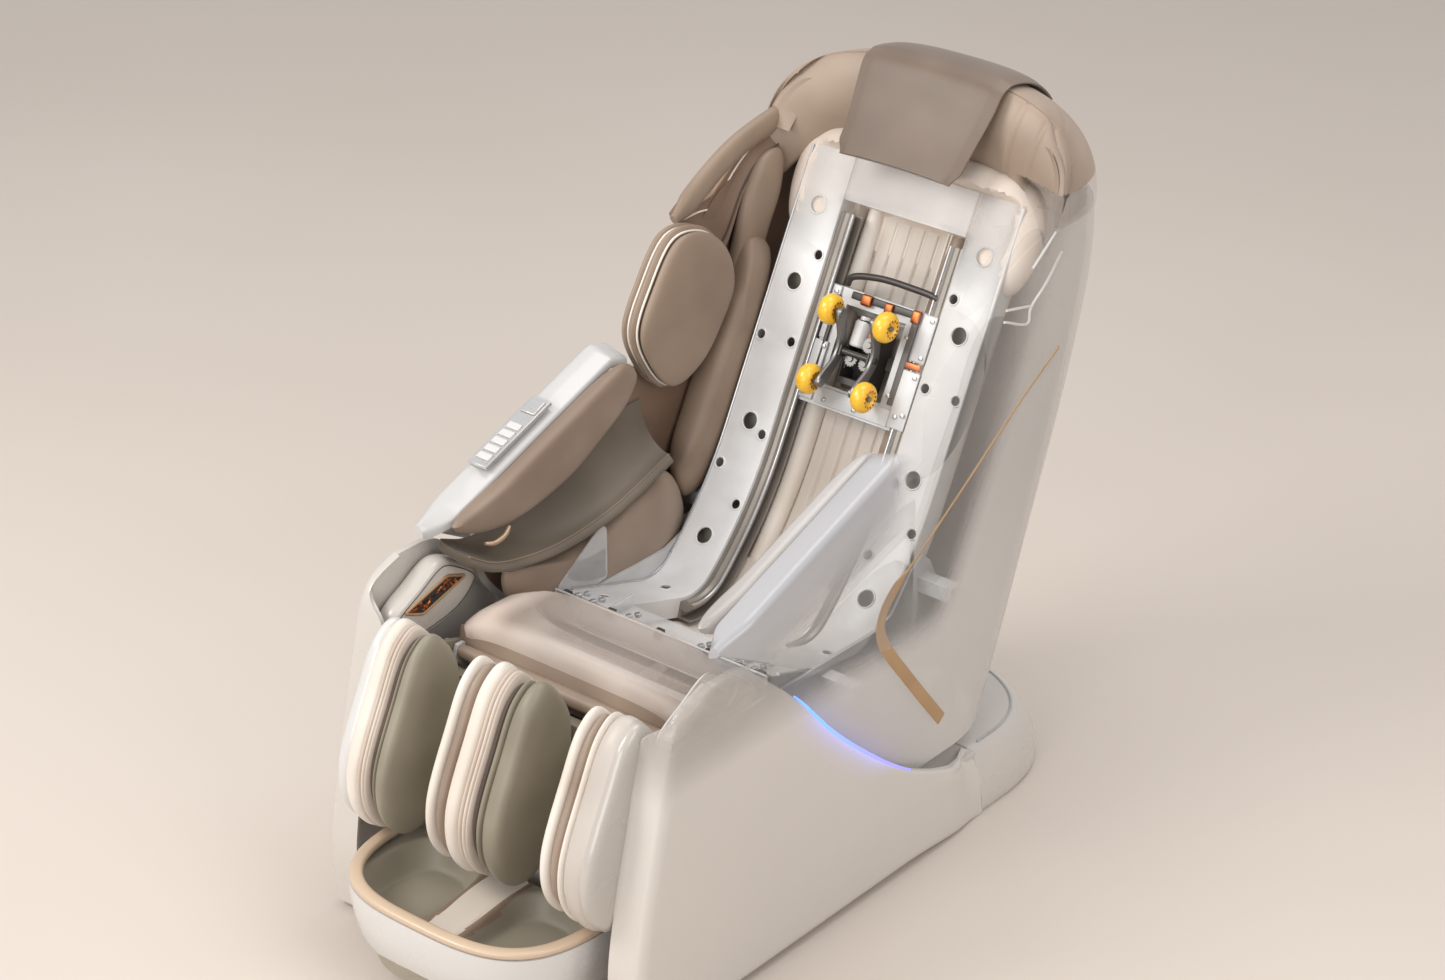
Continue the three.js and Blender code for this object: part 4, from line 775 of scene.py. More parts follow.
@dataclass(frozen=True)
class Glow:
    """A light strip that runs from blue to violet."""

    name: str
    start: tuple
    end: tuple
    strength: float

    def material(self) -> bpy.types.Material:
        """The colour follows height down the arc."""
        g = Graph(self.name)
        colour = g.mix(g.between(g.axis("Z"), 0.25, 0.48), self.end, self.start)
        return g.finish(
            Base_Color=colour, Emission_Color=colour, Emission_Strength=self.strength, Roughness=0.3)


class Finishes:
    """Every material of the chair, made once."""

    def __init__(self) -> None:
        """Builds the materials."""
        cream, cream_low = srgb(232, 224, 214), srgb(216, 204, 191)
        tan, tan_low = srgb(152, 132, 114), srgb(133, 113, 96)
        taupe, taupe_low = srgb(150, 142, 124), srgb(130, 122, 105)
        self.cream = Leather("cream_leather", cream, cream_low).material()
        # painted shade: white leather darkened to the grey of the near fin's shaded outer face
        self.pale = Leather("white_leather", srgb(194, 185, 176), srgb(182, 172, 163), 0.4).material()
        # painted shade: a darker brown copy of the tan leather for the recesses, on the shell's inner wall
        # and behind the far wing
        self.recess = Leather("recess_leather", srgb(134, 108, 88), srgb(110, 88, 72), 0.5).material()
        self.hood = HoodHide("hood_leather", srgb(166, 147, 130), srgb(147, 127, 111)).material()
        self.base = Gloss("base_shell", srgb(204, 197, 189)).material()
        self.strap = Leather("strap_leather", srgb(121, 105, 91), srgb(107, 91, 79)).material()
        self.quilt = Leather("quilt_leather", srgb(208, 198, 187), srgb(190, 178, 166)).material()
        # painted light: a lighter copy of the taupe leather for the foot liner, standing in for light in its
        # deep wells
        self.well = Leather("well_leather", srgb(160, 152, 135), srgb(142, 134, 118)).material()
        self.scoop = Leather("scoop_leather", srgb(116, 104, 89), srgb(98, 88, 75)).material()
        self.rose = Leather("rose_cream_leather", srgb(220, 207, 195), srgb(204, 188, 174)).material()
        self.tan = Leather("tan_leather", tan, tan_low).material()
        self.seat = SeatHide("seat_leather", srgb(220, 206, 195), srgb(204, 187, 174), 0.6).material()
        self.brown = Leather("brown_leather", srgb(158, 139, 123), srgb(136, 116, 100)).material()
        self.taupe = Leather("taupe_leather", taupe, taupe_low).material()
        self.thin = Leather("thin_leather", srgb(222, 216, 210), srgb(205, 198, 190), 0.3, 0.03).material()
        # pale piping; on the shoulder cells its pale colour is partly a painted highlight along their folds
        self.piping = Leather("pale_piping", srgb(238, 230, 220), srgb(222, 210, 196), 0.3).material()
        self.seam = Leather("dark_seam", srgb(92, 76, 64), srgb(70, 58, 50), 0.6).material()
        self.rim = Gloss("tan_rim", srgb(205, 181, 155), 0.3, 0.35).material()
        self.white = Gloss("white_shell", srgb(214, 211, 208)).material()
        self.arm = Gloss("arm_shell", srgb(198, 196, 194)).material()
        # painted shade: a darker copy of the white shell for the near fin's cover, whose face lies in shade
        self.fin = Gloss("fin_shell", srgb(188, 181, 173)).material()
        self.cover = Ghost(
            "clear_cover", srgb(212, 205, 197), 0.2, 0.98, 0.61, 0.44, glow=(0.10, 0.16, 1.0, 1.0)).material()
        self.shell = Ghost("clear_shell", srgb(222, 217, 212), 0.24, 0.62, 1.05, 0.35, True).material()
        self.blade = Ghost(
            "clear_blade", srgb(186, 185, 187), 0.86, 0.04, 0.81, 0.66, slope=0.366, edge=0.2,
            fade=(0.02, 0.095)).material()
        self.hazy_pad = Ghost("hazy_pad", srgb(196, 191, 188), 0.8, 0.4, 0.8, 0.62).material()
        self.glass = Ghost("clear_bracket", srgb(232, 232, 233), 0.36, 0.4, 0.5, 0.3).material()
        self.pearl = Pearl("pearl_track", srgb(238, 237, 236)).material()
        self.near_pearl = Pearl("near_pearl", srgb(216, 214, 212)).material()
        self.chrome = Metal("chrome_edge", srgb(205, 205, 206), 0.3, 0.85, depth=0.01).material()
        self.steel = Metal("brushed_rail", srgb(156, 149, 141), 0.4, 0.5, brushed=(30, 1, 1)).material()
        self.alloy = Metal("cast_alloy", srgb(208, 208, 208), 0.4, 0.15, scale=500).material()
        self.dark = Metal("dark_metal", srgb(86, 82, 80), 0.42, 0.6, scale=420).material()
        self.gunmetal = Metal("grey_arm", srgb(150, 147, 144), 0.36, 0.7, scale=420).material()
        self.copper = Metal("copper_winding", srgb(186, 108, 66), 0.35, brushed=(1, 24, 24)).material()
        self.bronze = Metal("bronze_stripe", srgb(190, 155, 114), 0.4, 0.35, scale=200).material()
        self.satin_copper = Metal("copper_panel", srgb(196, 166, 138), 0.33, 0.45, scale=60).material()
        self.black = Gloss("black_plastic", srgb(38, 36, 36), 0.45, 0.1).material()
        self.silver = Metal("silver_strip", srgb(214, 213, 212), 0.3, 0.6, scale=400).material()
        self.amber = Amber("amber_rubber", srgb(255, 200, 56), srgb(244, 152, 20)).material()
        self.glow = Glow("light_strip", (0.10, 0.24, 1.0, 1.0), (0.17, 0.16, 1.0, 1.0), 2.0).material()


class Shop:
    """Dresses pieces and tells the frame about them."""

    def __init__(self, finishes: Finishes) -> None:
        """Keeps the chair's finishes."""
        self.finishes = finishes
        self.count = 0

    def fit(
        self, obj: bpy.types.Object, finish: bpy.types.Material, body: str, slot: str,
        replaces: Sequence[str] = (), fill: Optional[float] = None,
    ) -> bpy.types.Object:
        """Gives a piece its finish, body and the nodes that it stands for.

        Args:
            obj: The piece.
            finish: Its material.
            body: The moving body that it rides on.
            slot: The record's material slot. Not used.
            replaces: CAD nodes that it stands for.
            fill: Stuffing from 0 to 1 where it is padded. Not used.
        Returns:
            The piece.
        """
        obj.data.materials.clear()
        obj.data.materials.append(finish)
        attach(obj, body)
        if replaces:
            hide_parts(*replaces)
        self.count += 1
        log.info("%s rides on %s", obj.name, body)
        return obj

    def refined(
        self, node: str, finish: bpy.types.Material, body: str, slot: str, edge: float = 0.8
    ) -> bpy.types.Object:
        """A copy of a hard CAD node with clean flat faces and small bevels, which replaces it.

        Args:
            node: The node's name.
            finish: Its material.
            body: The body that it rides on.
            slot: The record's material slot.
            edge: Bevel width in millimetres.
        Returns:
            The new piece.
        """
        mesh = bpy.data.objects[node].data.copy()
        work = bmesh.new()
        work.from_mesh(mesh)
        bmesh.ops.remove_doubles(work, verts=work.verts, dist=2e-5)
        bmesh.ops.dissolve_limit(work, angle_limit=math.radians(2), verts=work.verts, edges=work.edges)
        work.to_mesh(mesh)
        work.free()
        mesh.shade_smooth()
        obj = bpy.data.objects.new(node + "_piece", mesh)
        bpy.context.scene.collection.objects.link(obj)
        bevel = obj.modifiers.new("edges", "BEVEL")
        bevel.width = edge / 1000
        bevel.segments = 2
        bevel.limit_method = "ANGLE"
        bevel.angle_limit = math.radians(35)
        bevel.use_clamp_overlap = True
        obj.data.set_sharp_from_angle(angle=math.radians(40))
        return self.fit(obj, finish, body, slot, [node])


# ------------------------------------------------------------------ the track's line
@dataclass(frozen=True)
class TrackLine:
    """The line that the carriage runs on: straight, a wide arc at the hips, a tight one, the seat run."""

    lean: float = math.radians(28)
    y: float = 412.0
    z: float = 897.0
    top_z: float = 1125.0
    knee_z: float = 640.0
    hip_radius: float = 760.0
    hip_lean: float = math.radians(49)
    seat_radius: float = 85.0
    seat_lean: float = math.radians(108)
    seat_run: float = 215.0
    straight_rows: int = 24
    arc_rows: int = 22
    run_rows: int = 13

    def straight(self, z: Array) -> Array:
        """Rows of [y, z, ny, nz] on the straight part at heights z."""
        z = np.atleast_1d(np.asarray(z, float))
        y = self.y + (z - self.z) * math.tan(self.lean)
        n = np.broadcast_to([-math.cos(self.lean), math.sin(self.lean)], (len(z), 2))
        return np.column_stack([y, z, n])

    def _arc(self, start: Array, lean: float, radius: float, end: float) -> Array:
        """An arc that bends from one lean to another; the centre lies a radius along the normal."""
        centre = start[:2] + radius * start[2:4]
        angle = np.linspace(lean, end, self.arc_rows + 1)[1:]
        n = np.column_stack([-np.cos(angle), np.sin(angle)])
        return np.column_stack([centre - radius * n, n])

    def path(self, top: float, until: str = "seat") -> Array:
        """Fine rows from height top down to the hip, the bend or the seat's front."""
        rows = [self.straight(np.linspace(top, self.knee_z, self.straight_rows))]
        rows.append(self._arc(rows[-1][-1], self.lean, self.hip_radius, self.hip_lean))
        if until != "hip":
            rows.append(self._arc(rows[-1][-1], self.hip_lean, self.seat_radius, self.seat_lean))
        if until == "seat":
            last = rows[-1][-1]
            step = np.array([-math.sin(self.seat_lean), -math.cos(self.seat_lean)])
            run = np.linspace(0, self.seat_run, self.run_rows + 1)[1:, None]
            rows.append(np.column_stack([last[:2] + run * step, np.broadcast_to(last[2:4], (len(run), 2))]))
        return np.concatenate(rows)

    def at(self, x: Array, z: Array, n: Array) -> Array:
        """Places across x, at height z on the straight line, n in front of its face."""
        y = self.y + (z - self.z) * math.tan(self.lean) - n * math.cos(self.lean)
        return np.stack(np.broadcast_arrays(x, y, z + n * math.sin(self.lean)), axis=-1)


TRACK = TrackLine()


def shell_point(turn: Array, z: Array, depth: Array) -> Array:
    """A point of the back shell, depth inside its outer face.

    turn runs round the U from the right front edge (0) over the spine (0.5) to the left one (1).
    The walls are straight from front edge to turn line, then a superellipse closes behind.
    """
    turn, z, depth = np.broadcast_arrays(*(np.asarray(v, float) for v in (turn, z, depth)))
    side = np.where(turn < 0.5, -1.0, 1.0)
    share = np.abs(turn - 0.5) * 2
    half = Shell.half - depth
    start, front, rear = (table(t, z) for t in (Shell.turn_line, Shell.front_line, Shell.rear_line))
    angle = np.minimum(share, 0.5) * np.pi
    y = np.where(
        share > 0.5, lerp(start, front, 2 * share - 1),
        start + (rear - depth - start) * np.cos(angle) ** 0.8)
    x = side * half * np.where(share > 0.5, 1.0, np.sin(angle) ** 0.8)
    return np.stack([x, y, z], axis=-1)


# ------------------------------------------------------------------ sub-assemblies
@dataclass
class Assembly:
    """A group of pieces that ride on one body, unless a piece names another."""

    shop: Shop
    body: ClassVar[str] = "seat_unit"

    def add(
        self, name: str, shape: tuple, finish: bpy.types.Material, slot: str, fill: Optional[float] = None,
        body: str = "", sharp: float = SHARP,
    ) -> bpy.types.Object:
        """Makes a piece and fits it. A name that ends in _piece stands for the CAD node before it.

        Args:
            name: The piece's name.
            shape: Its points and faces.
            finish: Its material.
            slot: The record's material slot.
            fill: Stuffing from 0 to 1 where it is padded.
            body: The body that it rides on, where that isn't the group's own.
            sharp: Angle in degrees from which an edge is sharp.
        Returns:
            The piece.
        """
        node = name.removesuffix("_piece")
        nodes = [node] if node != name else []
        return self.shop.fit(make(name, *shape, sharp), finish, body or self.body, slot, nodes, fill)

    def refined(
        self, node: str, finish: bpy.types.Material, slot: str, edge: float = 0.8, body: str = ""
    ) -> bpy.types.Object:
        """A bevelled copy of a CAD node, on the group's own body or the named one."""
        return self.shop.refined(node, finish, body or self.body, slot, edge)


@dataclass
class Base(Assembly):
    """Foot, side covers with their caps, inlet, power box and the fixed frame."""

    body: ClassVar[str] = "base"
    seam_y: float = 300.0
    cover_in: float = 345.0
    cover_out: float = 370.0
    facets: int = 46
    facet_x: float = -298.5
    front_edge: tuple = (
        (14, -684), (120, -690), (255, -672), (390, -640), (520, -608), (598, -582), (622, -556), (642, -500))
    rear_edge: tuple = (
        (14, 302.5), (128, 302.5), (130, 300), (152, 200), (178, 130), (213, 61), (254, 0), (297, -54),
        (347, -112), (403, -171), (452, -215), (507, -264), (568, -330), (610, -380), (640, -425),
        (642, -440))

    def foot(self) -> None:
        """The oval foot: D rings drawn in towards the top, and the low plinth in front of it."""
        angle = np.linspace(np.pi, 0, 60)
        levels = [(352, 647, 0), (357, 654, 8), (358, 655, 14), (357, 652, 34), (354, 645, 55),
                  (348, 633, 78),
                  (342, 621, 98), (335, 606, 114), (328, 595, 122), (320, 582, 128), (316, 572, 130)]
        hollow = [(312, 564, 124), (322, 585, 110), (342, 633, 55), (340, 635, 0)]
        rings = []
        for half, rear, z in hollow + levels:
            seam = self.seam_y + (6 if len(rings) < len(hollow) else 0)
            x = bulged(np.cos(angle), 0.8) * half
            y = seam + 60 + (rear - seam - 60) * np.sin(angle) ** 0.8
            x = np.concatenate([[-half, -half], x, [half, half]])
            y = np.concatenate([[seam, seam + 30], y, [seam + 30, seam]])
            rings.append(np.column_stack([x, y, np.full(len(x), z)]))
        plinth = fillet([(-330, -540), (330, -540), (330, 305), (-330, 305)], 14, 5)
        low = np.array([np.column_stack([inset(plinth, by), np.full(len(plinth), z)])
                        for z, by in ((54, 6), (0, 6), (0, 3), (3, 0), (56, 0), (60, 4))])
        f = self.shop.finishes
        foot = merged(lofted(np.array(rings), fan=False), lofted(low, fan=False))
        self.add("base_foot_piece", foot, f.base, "white_shell")
        deck = slabbed(fillet([(120, 114), (304, 114), (304, 127), (120, 127)], 3, 3), -336, 336, 2)
        self.add("foot_deck", deck, f.base, "white_shell")
        self.add("foot_lip", tubed(rings[-2][1:-1] + [0, 0, 1.2], 2.6, 8), f.chrome, "white_shell")

    def cover(self, side: Side) -> None:
        """A side cover: rows by height between its front and rear edges, crowned and round-edged."""
        f = self.shop.finishes
        z = np.concatenate([[14, 15.5, 19, 26], np.linspace(36, 610, 60), [620, 628, 634, 638.5, 641, 642]])
        front, rear = table(self.front_edge, z), table(self.rear_edge, z)
        edge = np.array([0, 1, 3, 6, 9, 12, 15, 18, 22, 27, 33, 40.0])
        t = np.linspace(0, 1, 52)
        inner_y = front[:, None] + edge[-1] + (rear - front - 52)[:, None] * t[None, 1:-1]
        y = np.concatenate([front[:, None] + edge, inner_y, rear[:, None] - edge[8::-1] / 1.83], axis=1)

        def turn(gone: Array, radius: float) -> Array:
            """How far a quarter circle lies below its top at a distance from its start, for radius 1."""
            return 1 - np.sqrt(np.clip(1 - (1 - np.clip(gone / radius, 0, 1)) ** 2, 0, 1))

        high = np.minimum(z - 14, 642 - z)[:, None]
        rounded = 9 * smooth(z, 118, 160)[:, None] * turn(rear[:, None] - y, 12)
        drop = np.maximum(np.maximum(rounded, 9 * turn(high, 12)), 17 * turn(y - front[:, None], 22))
        share = (y - front[:, None]) / (rear - front)[:, None]
        outer = self.cover_out - 3 * ((share - 0.5) * 2) ** 4 - drop
        foot = table([(0, 352), (14, 358), (55, 354), (98, 342), (122, 328), (130, 318)], z)[:, None] - 0.4
        outer = lerp(outer, np.minimum(outer, foot), smooth(y, 200, 296))
        zz = np.broadcast_to(z[:, None], y.shape)
        zz = zz - 12 * smooth(y, 40, 280) * (1 - smooth(zz, 14, 60))
        lip = (y - front[:, None] < 15) * smooth(606 - zz, 0, 50)
        near = np.stack([outer, y, zz], axis=-1)
        back = np.stack([np.minimum(self.cover_in + 6, outer - 5) - 49 * lip, y, zz], axis=-1)
        cover = mirrored(sheeted(near, back), side)
        finish = side.pick(f.cover, f.base)
        obj = self.add(f"side_cover_{side.word}_piece", cover, finish, "white_shell", sharp=50)
        far = np.abs(rear[:, None] - y) * 0.72
        glow = np.exp(-far / 16) * smooth(zz, 225, 290) * (1 - smooth(zz, 430, 505))
        colour = obj.data.attributes.new("glow", "FLOAT", "POINT")
        colour.data.foreach_set("value", np.tile(glow.reshape(-1), 2))

    def cap(self, side: Side) -> None:
        """The rounded cap in front of the arm, with a faceted copper slot let into its face."""
        f = self.shop.finishes
        outline = curve(
            [(-572, 500), (-568, 552), (-505, 592), (-440, 622), (-395, 604), (-345, 556), (-400, 505)], 72,
            closed=True)
        cap = mirrored(standing(outline, 300, 346, 26, 0.16), side)
        self.add(f"front_cap_{side.word}", cap, side.pick(f.cover, f.base), "white_shell")
        if side is Side.LEFT:
            # The near cap's white edge tube is a painted highlight round the rim of the clear cap.
            edge = tubed(at_x(inset(outline, 8), 302.0), 2.0, 8, closed=True)
            self.add("cap_edge", edge, f.white, "white_shell")
            return
        slot = fillet([(-430, 588), (-384, 570), (-494, 538), (-540, 557)], 8, 6)
        groove = tubed(at_x(inset(outline, 13), -300.2), 0.9, 6, closed=True)
        self.add("inlay_seam", groove, f.seam, "dark_plastic")
        self.add("inlay_frame", tubed(at_x(slot, -299.6), 3.0, 8, closed=True), f.bronze, "bronze_trim")
        self.add("inlay_bed", slabbed(inset(slot, 1.5), -302, -298.6, 0.6), f.black, "dark_plastic")
        self.add("inlay_facets", merged(*self._facets(inset(slot, 6))), f.copper, "bronze_trim", sharp=5)

    def _facets(self, spots: Array) -> list:
        """Low three-sided points scattered between an outline and its middle."""
        rng = np.random.default_rng(7)
        middle, x, parts = spots.mean(0), self.facet_x, []
        for _ in range(self.facets):
            a = spots[rng.integers(len(spots))]
            c = middle + (a - middle) * math.sqrt(rng.random())
            r = rng.uniform(3, 6.5)
            turn = rng.uniform(0, 6.28) + np.arange(3) * 2 * np.pi / 3
            foot = at_x(np.column_stack([c[0] + r * np.cos(turn), c[1] + r * np.sin(turn)]), x)
            tip = np.array([[x + rng.uniform(1, 2), c[0] + rng.uniform(-3, 3), c[1] + rng.uniform(-3, 3)]])
            parts.append((np.concatenate([foot, tip]), [[0, 2, 1], [0, 1, 3], [1, 2, 3], [2, 0, 3]]))
        return parts

    def light(self, side: Side) -> None:
        """The light strip along the cover's rear arc."""
        z = np.linspace(212, 520, 60)
        path = at_x(np.column_stack([table(self.rear_edge, z) + 1.5, z]), self.cover_out - 7.5)
        strip = mirrored(tubed(path, 3.2 * tapered(60, 0.12, 0.4), 8), side)
        self.add(f"light_strip_{side.word}", strip, self.shop.finishes.glow, "clear_shell")

    def build(self) -> None:
        """Makes every piece of the base."""
        f = self.shop.finishes
        self.foot()
        for side in Side:
            self.cover(side)
            self.cap(side)
            self.light(side)
        self.refined("base_frame", f.alloy, "dark_metal", 1.0)
        self.refined("power_box", f.black, "dark_plastic", 3.0)
        self.refined("power_inlet", f.black, "dark_plastic", 0.8)


@dataclass
class Track(Assembly):
    """Side plates with their holes, guide rails, top plate, front bracket and the seat frame."""

    plate_in: float = 140.0
    plate_out: float = 242.0
    depth: float = 40.0
    wall: float = 4.0
    gap: float = 0.3
    big_hole: float = 17.0
    small_hole: float = 10.0
    hole_edge: float = 16.0

    def _spots(self) -> list:
        """The plate's holes as (x, row of [y, z, ny, nz], radius)."""
        path, arc = TRACK.path(TRACK.top_z), TRACK.straight_rows
        web, inner = (self.plate_in + self.plate_out) / 2, self.plate_in + self.hole_edge
        outer, flat = self.plate_out - self.hole_edge, TRACK.straight([1029, 897, 655, 950, 800, 640, 797])
        rows = [*flat[:3], path[arc + 16], *flat[3:], path[arc + 5], path[arc + 10],
                path[arc + TRACK.arc_rows + 17], path[-4]]
        across = (web, web, web, web, inner, inner, inner, outer, outer, inner, web, web)
        radii = [self.big_hole] * 4 + [self.small_hole] * 8
        return list(zip(across, rows, radii))

    def _ring(self, x: float, row: Array, radius: float, count: int) -> Array:
        """A circle in the track's face about a hole's middle."""
        a = circle(count)[:, None]
        along = np.array([0, -row[3], row[2]])
        return np.array([x, row[0], row[1]]) + radius * (np.cos(a) * np.array([1, 0, 0]) + np.sin(a) * along)

    def _channel(self, low: float, high: float, wall: float) -> Array:
        """Section of a pressed channel between two places across, open to the back."""
        d = self.depth
        return fillet([(low, 0), (high, 0), (high, -d), (high - wall, -d), (high - wall, -wall),
                       (low + wall, -wall), (low + wall, -d), (low, -d)], 1.6, 3)

    def plate(self, side: Side) -> None:
        """A pressed channel of rounded section with drilled holes, raised hole rims and a bright edge strip:
        chrome on the far plate, and white on the near one as a painted highlight.
        """
        f, p, q, w = self.shop.finishes, self.plate_in, self.plate_out, self.wall
        paint = side.pick(f.near_pearl, f.pearl)
        cuts, rims = [], []
        for x, row, r in self._spots():
            axis, ring = np.array([0, row[2], row[3]]), self._ring(x, row, r, 36)
            cuts.append(mirrored(lofted(np.array([ring + 9 * axis, ring - 12 * axis]), fan=False), side))
            rims.append(tubed(self._ring(x, row, r + 0.6, 40) + 0.5 * axis, 1.8, 8, closed=True))
        plate = mirrored(swept(self._channel(p, q, w), TRACK.path(TRACK.top_z)), side)
        obj = drilled(make(f"track_plate_{side.word}_piece", *plate), cuts)
        self.shop.fit(obj, paint, self.body, "track_paint", [f"track_plate_{side.word}"])
        self.add(f"hole_rims_{side.word}", mirrored(merged(*rims), side), paint, "track_paint")
        bead = beside(TRACK.path(TRACK.top_z - 4)[:-1], q - 1.5, 0.8)
        # On the near plate the edge strip is white gloss: a painted highlight along the plate's outer edge.
        edge = mirrored(tubed(bead, side.pick(4.2, 2.6), 10), side)
        self.add(f"plate_edge_{side.word}", edge, side.pick(f.white, f.chrome), "bare_steel")

    def rail(self, side: Side) -> None:
        """The guide rail: a C channel with a rolled bead on its front lip."""
        f, low, out, t = self.shop.finishes, 110.0, self.plate_in - self.gap, 5.0
        section = fillet([(low, -6), (out, -6), (out, -40), (low, -40), (low, -35), (out - t, -35),
                          (out - t, -11), (low, -11)], 1.4, 3)
        path = TRACK.path(TRACK.top_z - 95, "bend")
        obj = mirrored(swept(section, path), side)
        self.add(f"guide_rail_{side.word}_piece", obj, f.steel, "bare_steel")
        for k, (x, n, r) in enumerate(((112.5, -5.6, 2.8), (126, -12.5, 11.5))):
            bead = mirrored(tubed(beside(path, x, n), r, 10), side)
            self.add(f"rail_bead_{k + 1}_{side.word}", bead, f.steel if k else f.chrome, "bare_steel")

    def bracket(self) -> None:
        """Clear cheeks, dark clips and bright bolts on the bracket in front of the seat run."""
        f = self.shop.finishes
        end = TRACK.path(TRACK.top_z)[-1]
        y, z = end[0] - 16, end[1] + 7
        cheek = fillet(
            [(y, z - 42), (y, z + 6), (y + 120, z + 84), (y + 134, z + 74), (y + 134, z - 30)], 8, 4)
        self.add("bracket_cheek", slabbed(cheek, -248, -243.5, 1.2), f.glass, "light_alloy")
        front = fillet([(y - 6, z - 58), (y - 6, z + 4), (y - 1, z + 4), (y - 1, z - 58)], 1.5, 3)
        sill = fillet([(y - 6, z - 58), (y + 40, z - 78), (y + 40, z - 73), (y - 6, z - 53)], 1.5, 3)
        panels = merged(slabbed(front, -246, 246, 1.2), slabbed(sill, -246, 246, 1.2))
        self.add("bracket_panel", panels, f.glass, "light_alloy")
        # White tubes along the clear panel's edges: painted highlights on its edges.
        lines = [[(-246, y - 6, z + 4), (246, y - 6, z + 4)], [(-246, y - 6, z - 58), (246, y - 6, z - 58)],
                 [(-246, y - 6, z - 57), (-246, y - 6, z + 3)], [(246, y - 6, z - 57), (246, y - 6, z + 3)]]
        bright = [tubed(np.linspace(a, b, 6), 2.0, 8) for a, b in lines]
        self.add("bracket_edges", merged(*bright), f.white, "light_alloy")
        clip = fillet([(y - 5, z - 16), (y - 5, z + 3), (y + 9, z + 3), (y + 9, z - 2), (y, z - 16)], 1.5, 3)
        clips, bolts = [], []
        for x in (-226, -120, -6, 108, 226):
            clips.append(slabbed(clip, x - 8, x + 8, 1))
        for x in (-206, -170, -84, 84, 170, 206):
            for back in (10, 34):
                bolts.append(knob((x, y + back, z - 2 - back * 0.3), (0, 0, 1), (6, 7.5), (6.5, 4), 6))
        self.add("bracket_clips", merged(*clips), f.dark, "dark_metal")
        self.add("bracket_bolts", merged(*bolts), f.chrome, "bare_steel")

    def build(self) -> None:
        """Makes every piece of the track."""
        f = self.shop.finishes
        for side in Side:
            self.plate(side)
            self.rail(side)
        half = self.plate_in - self.gap
        rows = TRACK.straight(np.linspace(TRACK.top_z, TRACK.top_z - 75, 8))
        top = swept(self._channel(-half, half, self.wall), rows)
        self.add("track_top_plate_piece", top, f.pearl, "track_paint")
        self.refined("seat_bracket", f.glass, "light_alloy", 1.2)
        self.bracket()
        self.refined("seat_frame", f.alloy, "dark_metal", 0.8)


@dataclass
class Seat(Assembly):
    """Seat cushion with its welt, and the cushions beside it."""

    half: float = 268.0
    front: float = -446.0
    rear: float = -40.0

    def face(self, u: Array, v: Array, side: float) -> Array:
        """The cushion's upper (1) or lower (-1) face: a crowned block that thins into an apron behind.

        Its thickness follows a superellipse across and a quarter circle at the nose.
        """
        y = lerp(self.front, self.rear, v)
        across = 2 * u - 1
        back = smooth(y, -288, -228)
        nose = np.sqrt(1 - (1 - np.clip(v / 0.16, 0, 1)) ** 2)
        tail = np.clip((1 - v) / 0.05, 0.6, 1)
        swell = np.maximum(0.2, (1 - np.abs(across) ** 6) ** 0.5 * lerp(0.35, 1, nose) * tail)
        wide = lerp(self.half - 26 * (1 - nose), 236, smooth(y, -328, -268))
        tilt = TRACK.seat_lean - math.pi / 2
        end = TRACK.path(TRACK.top_z)[-1]
        under = end[1] - 43 / math.cos(tilt)
        behind = under - math.tan(tilt) * (y - end[0])
        crown = 540 + 18 * (1 - across ** 2) - 0.05 * (y - self.front)
        high, low = lerp(crown, behind, back), lerp(458, behind - 30, back)
        z = (high + low) / 2 + side * swell * (high - low) / 2
        z = z - side * 1.6 * crease(np.abs(across), 0.86, 0.018) * (1 - back)
        return np.stack(np.broadcast_arrays(across * wide, y, z), axis=-1)

    def build(self) -> None:
        """Makes the seat's pieces."""
        f = self.shop.finishes
        u, v = np.meshgrid(np.linspace(0, 1, 60), np.linspace(0, 1, 70))
        seat = sheeted(self.face(u, v, 1.0), self.face(u, v, -1.0))
        self.add("seat_cushion_piece", seat, f.seat, "cream_leather", 0.85, sharp=60)
        u, v = np.meshgrid(np.linspace(-1, 1, 60), np.linspace(0, 1, 16))
        skirt_y = self.front - 7 * np.sin(np.pi * v) + 8 * np.abs(u) ** 6
        front = np.stack([u * 262, skirt_y, 505 - 78 * v], axis=-1)
        self.add("seat_skirt", sheeted(front, front + [0, 6, 0]), f.brown, "tan_leather", 0.4, sharp=60)
        knee = np.array([[x, -460.0, 470.0] for x in np.linspace(-258, 258, 30)])
        self.add("knee_roll", tubed(knee, 15 * tapered(30, 0.3, 0.2), 20), f.brown, "tan_leather", 0.6)
        outline = curve(
            [(-306, 552), (-300, 490), (-200, 432), (-10, 402), (120, 398), (184, 470), (136, 580),
             (30, 566), (-60, 538), (-180, 536)], 80, closed=True)
        for side in Side:
            pad = mirrored(standing(outline, 248, 306, 22, 0.4), side)
            self.add(f"hip_cushion_{side.word}_piece", pad, side.pick(f.thin, f.brown), "tan_leather", 0.8)


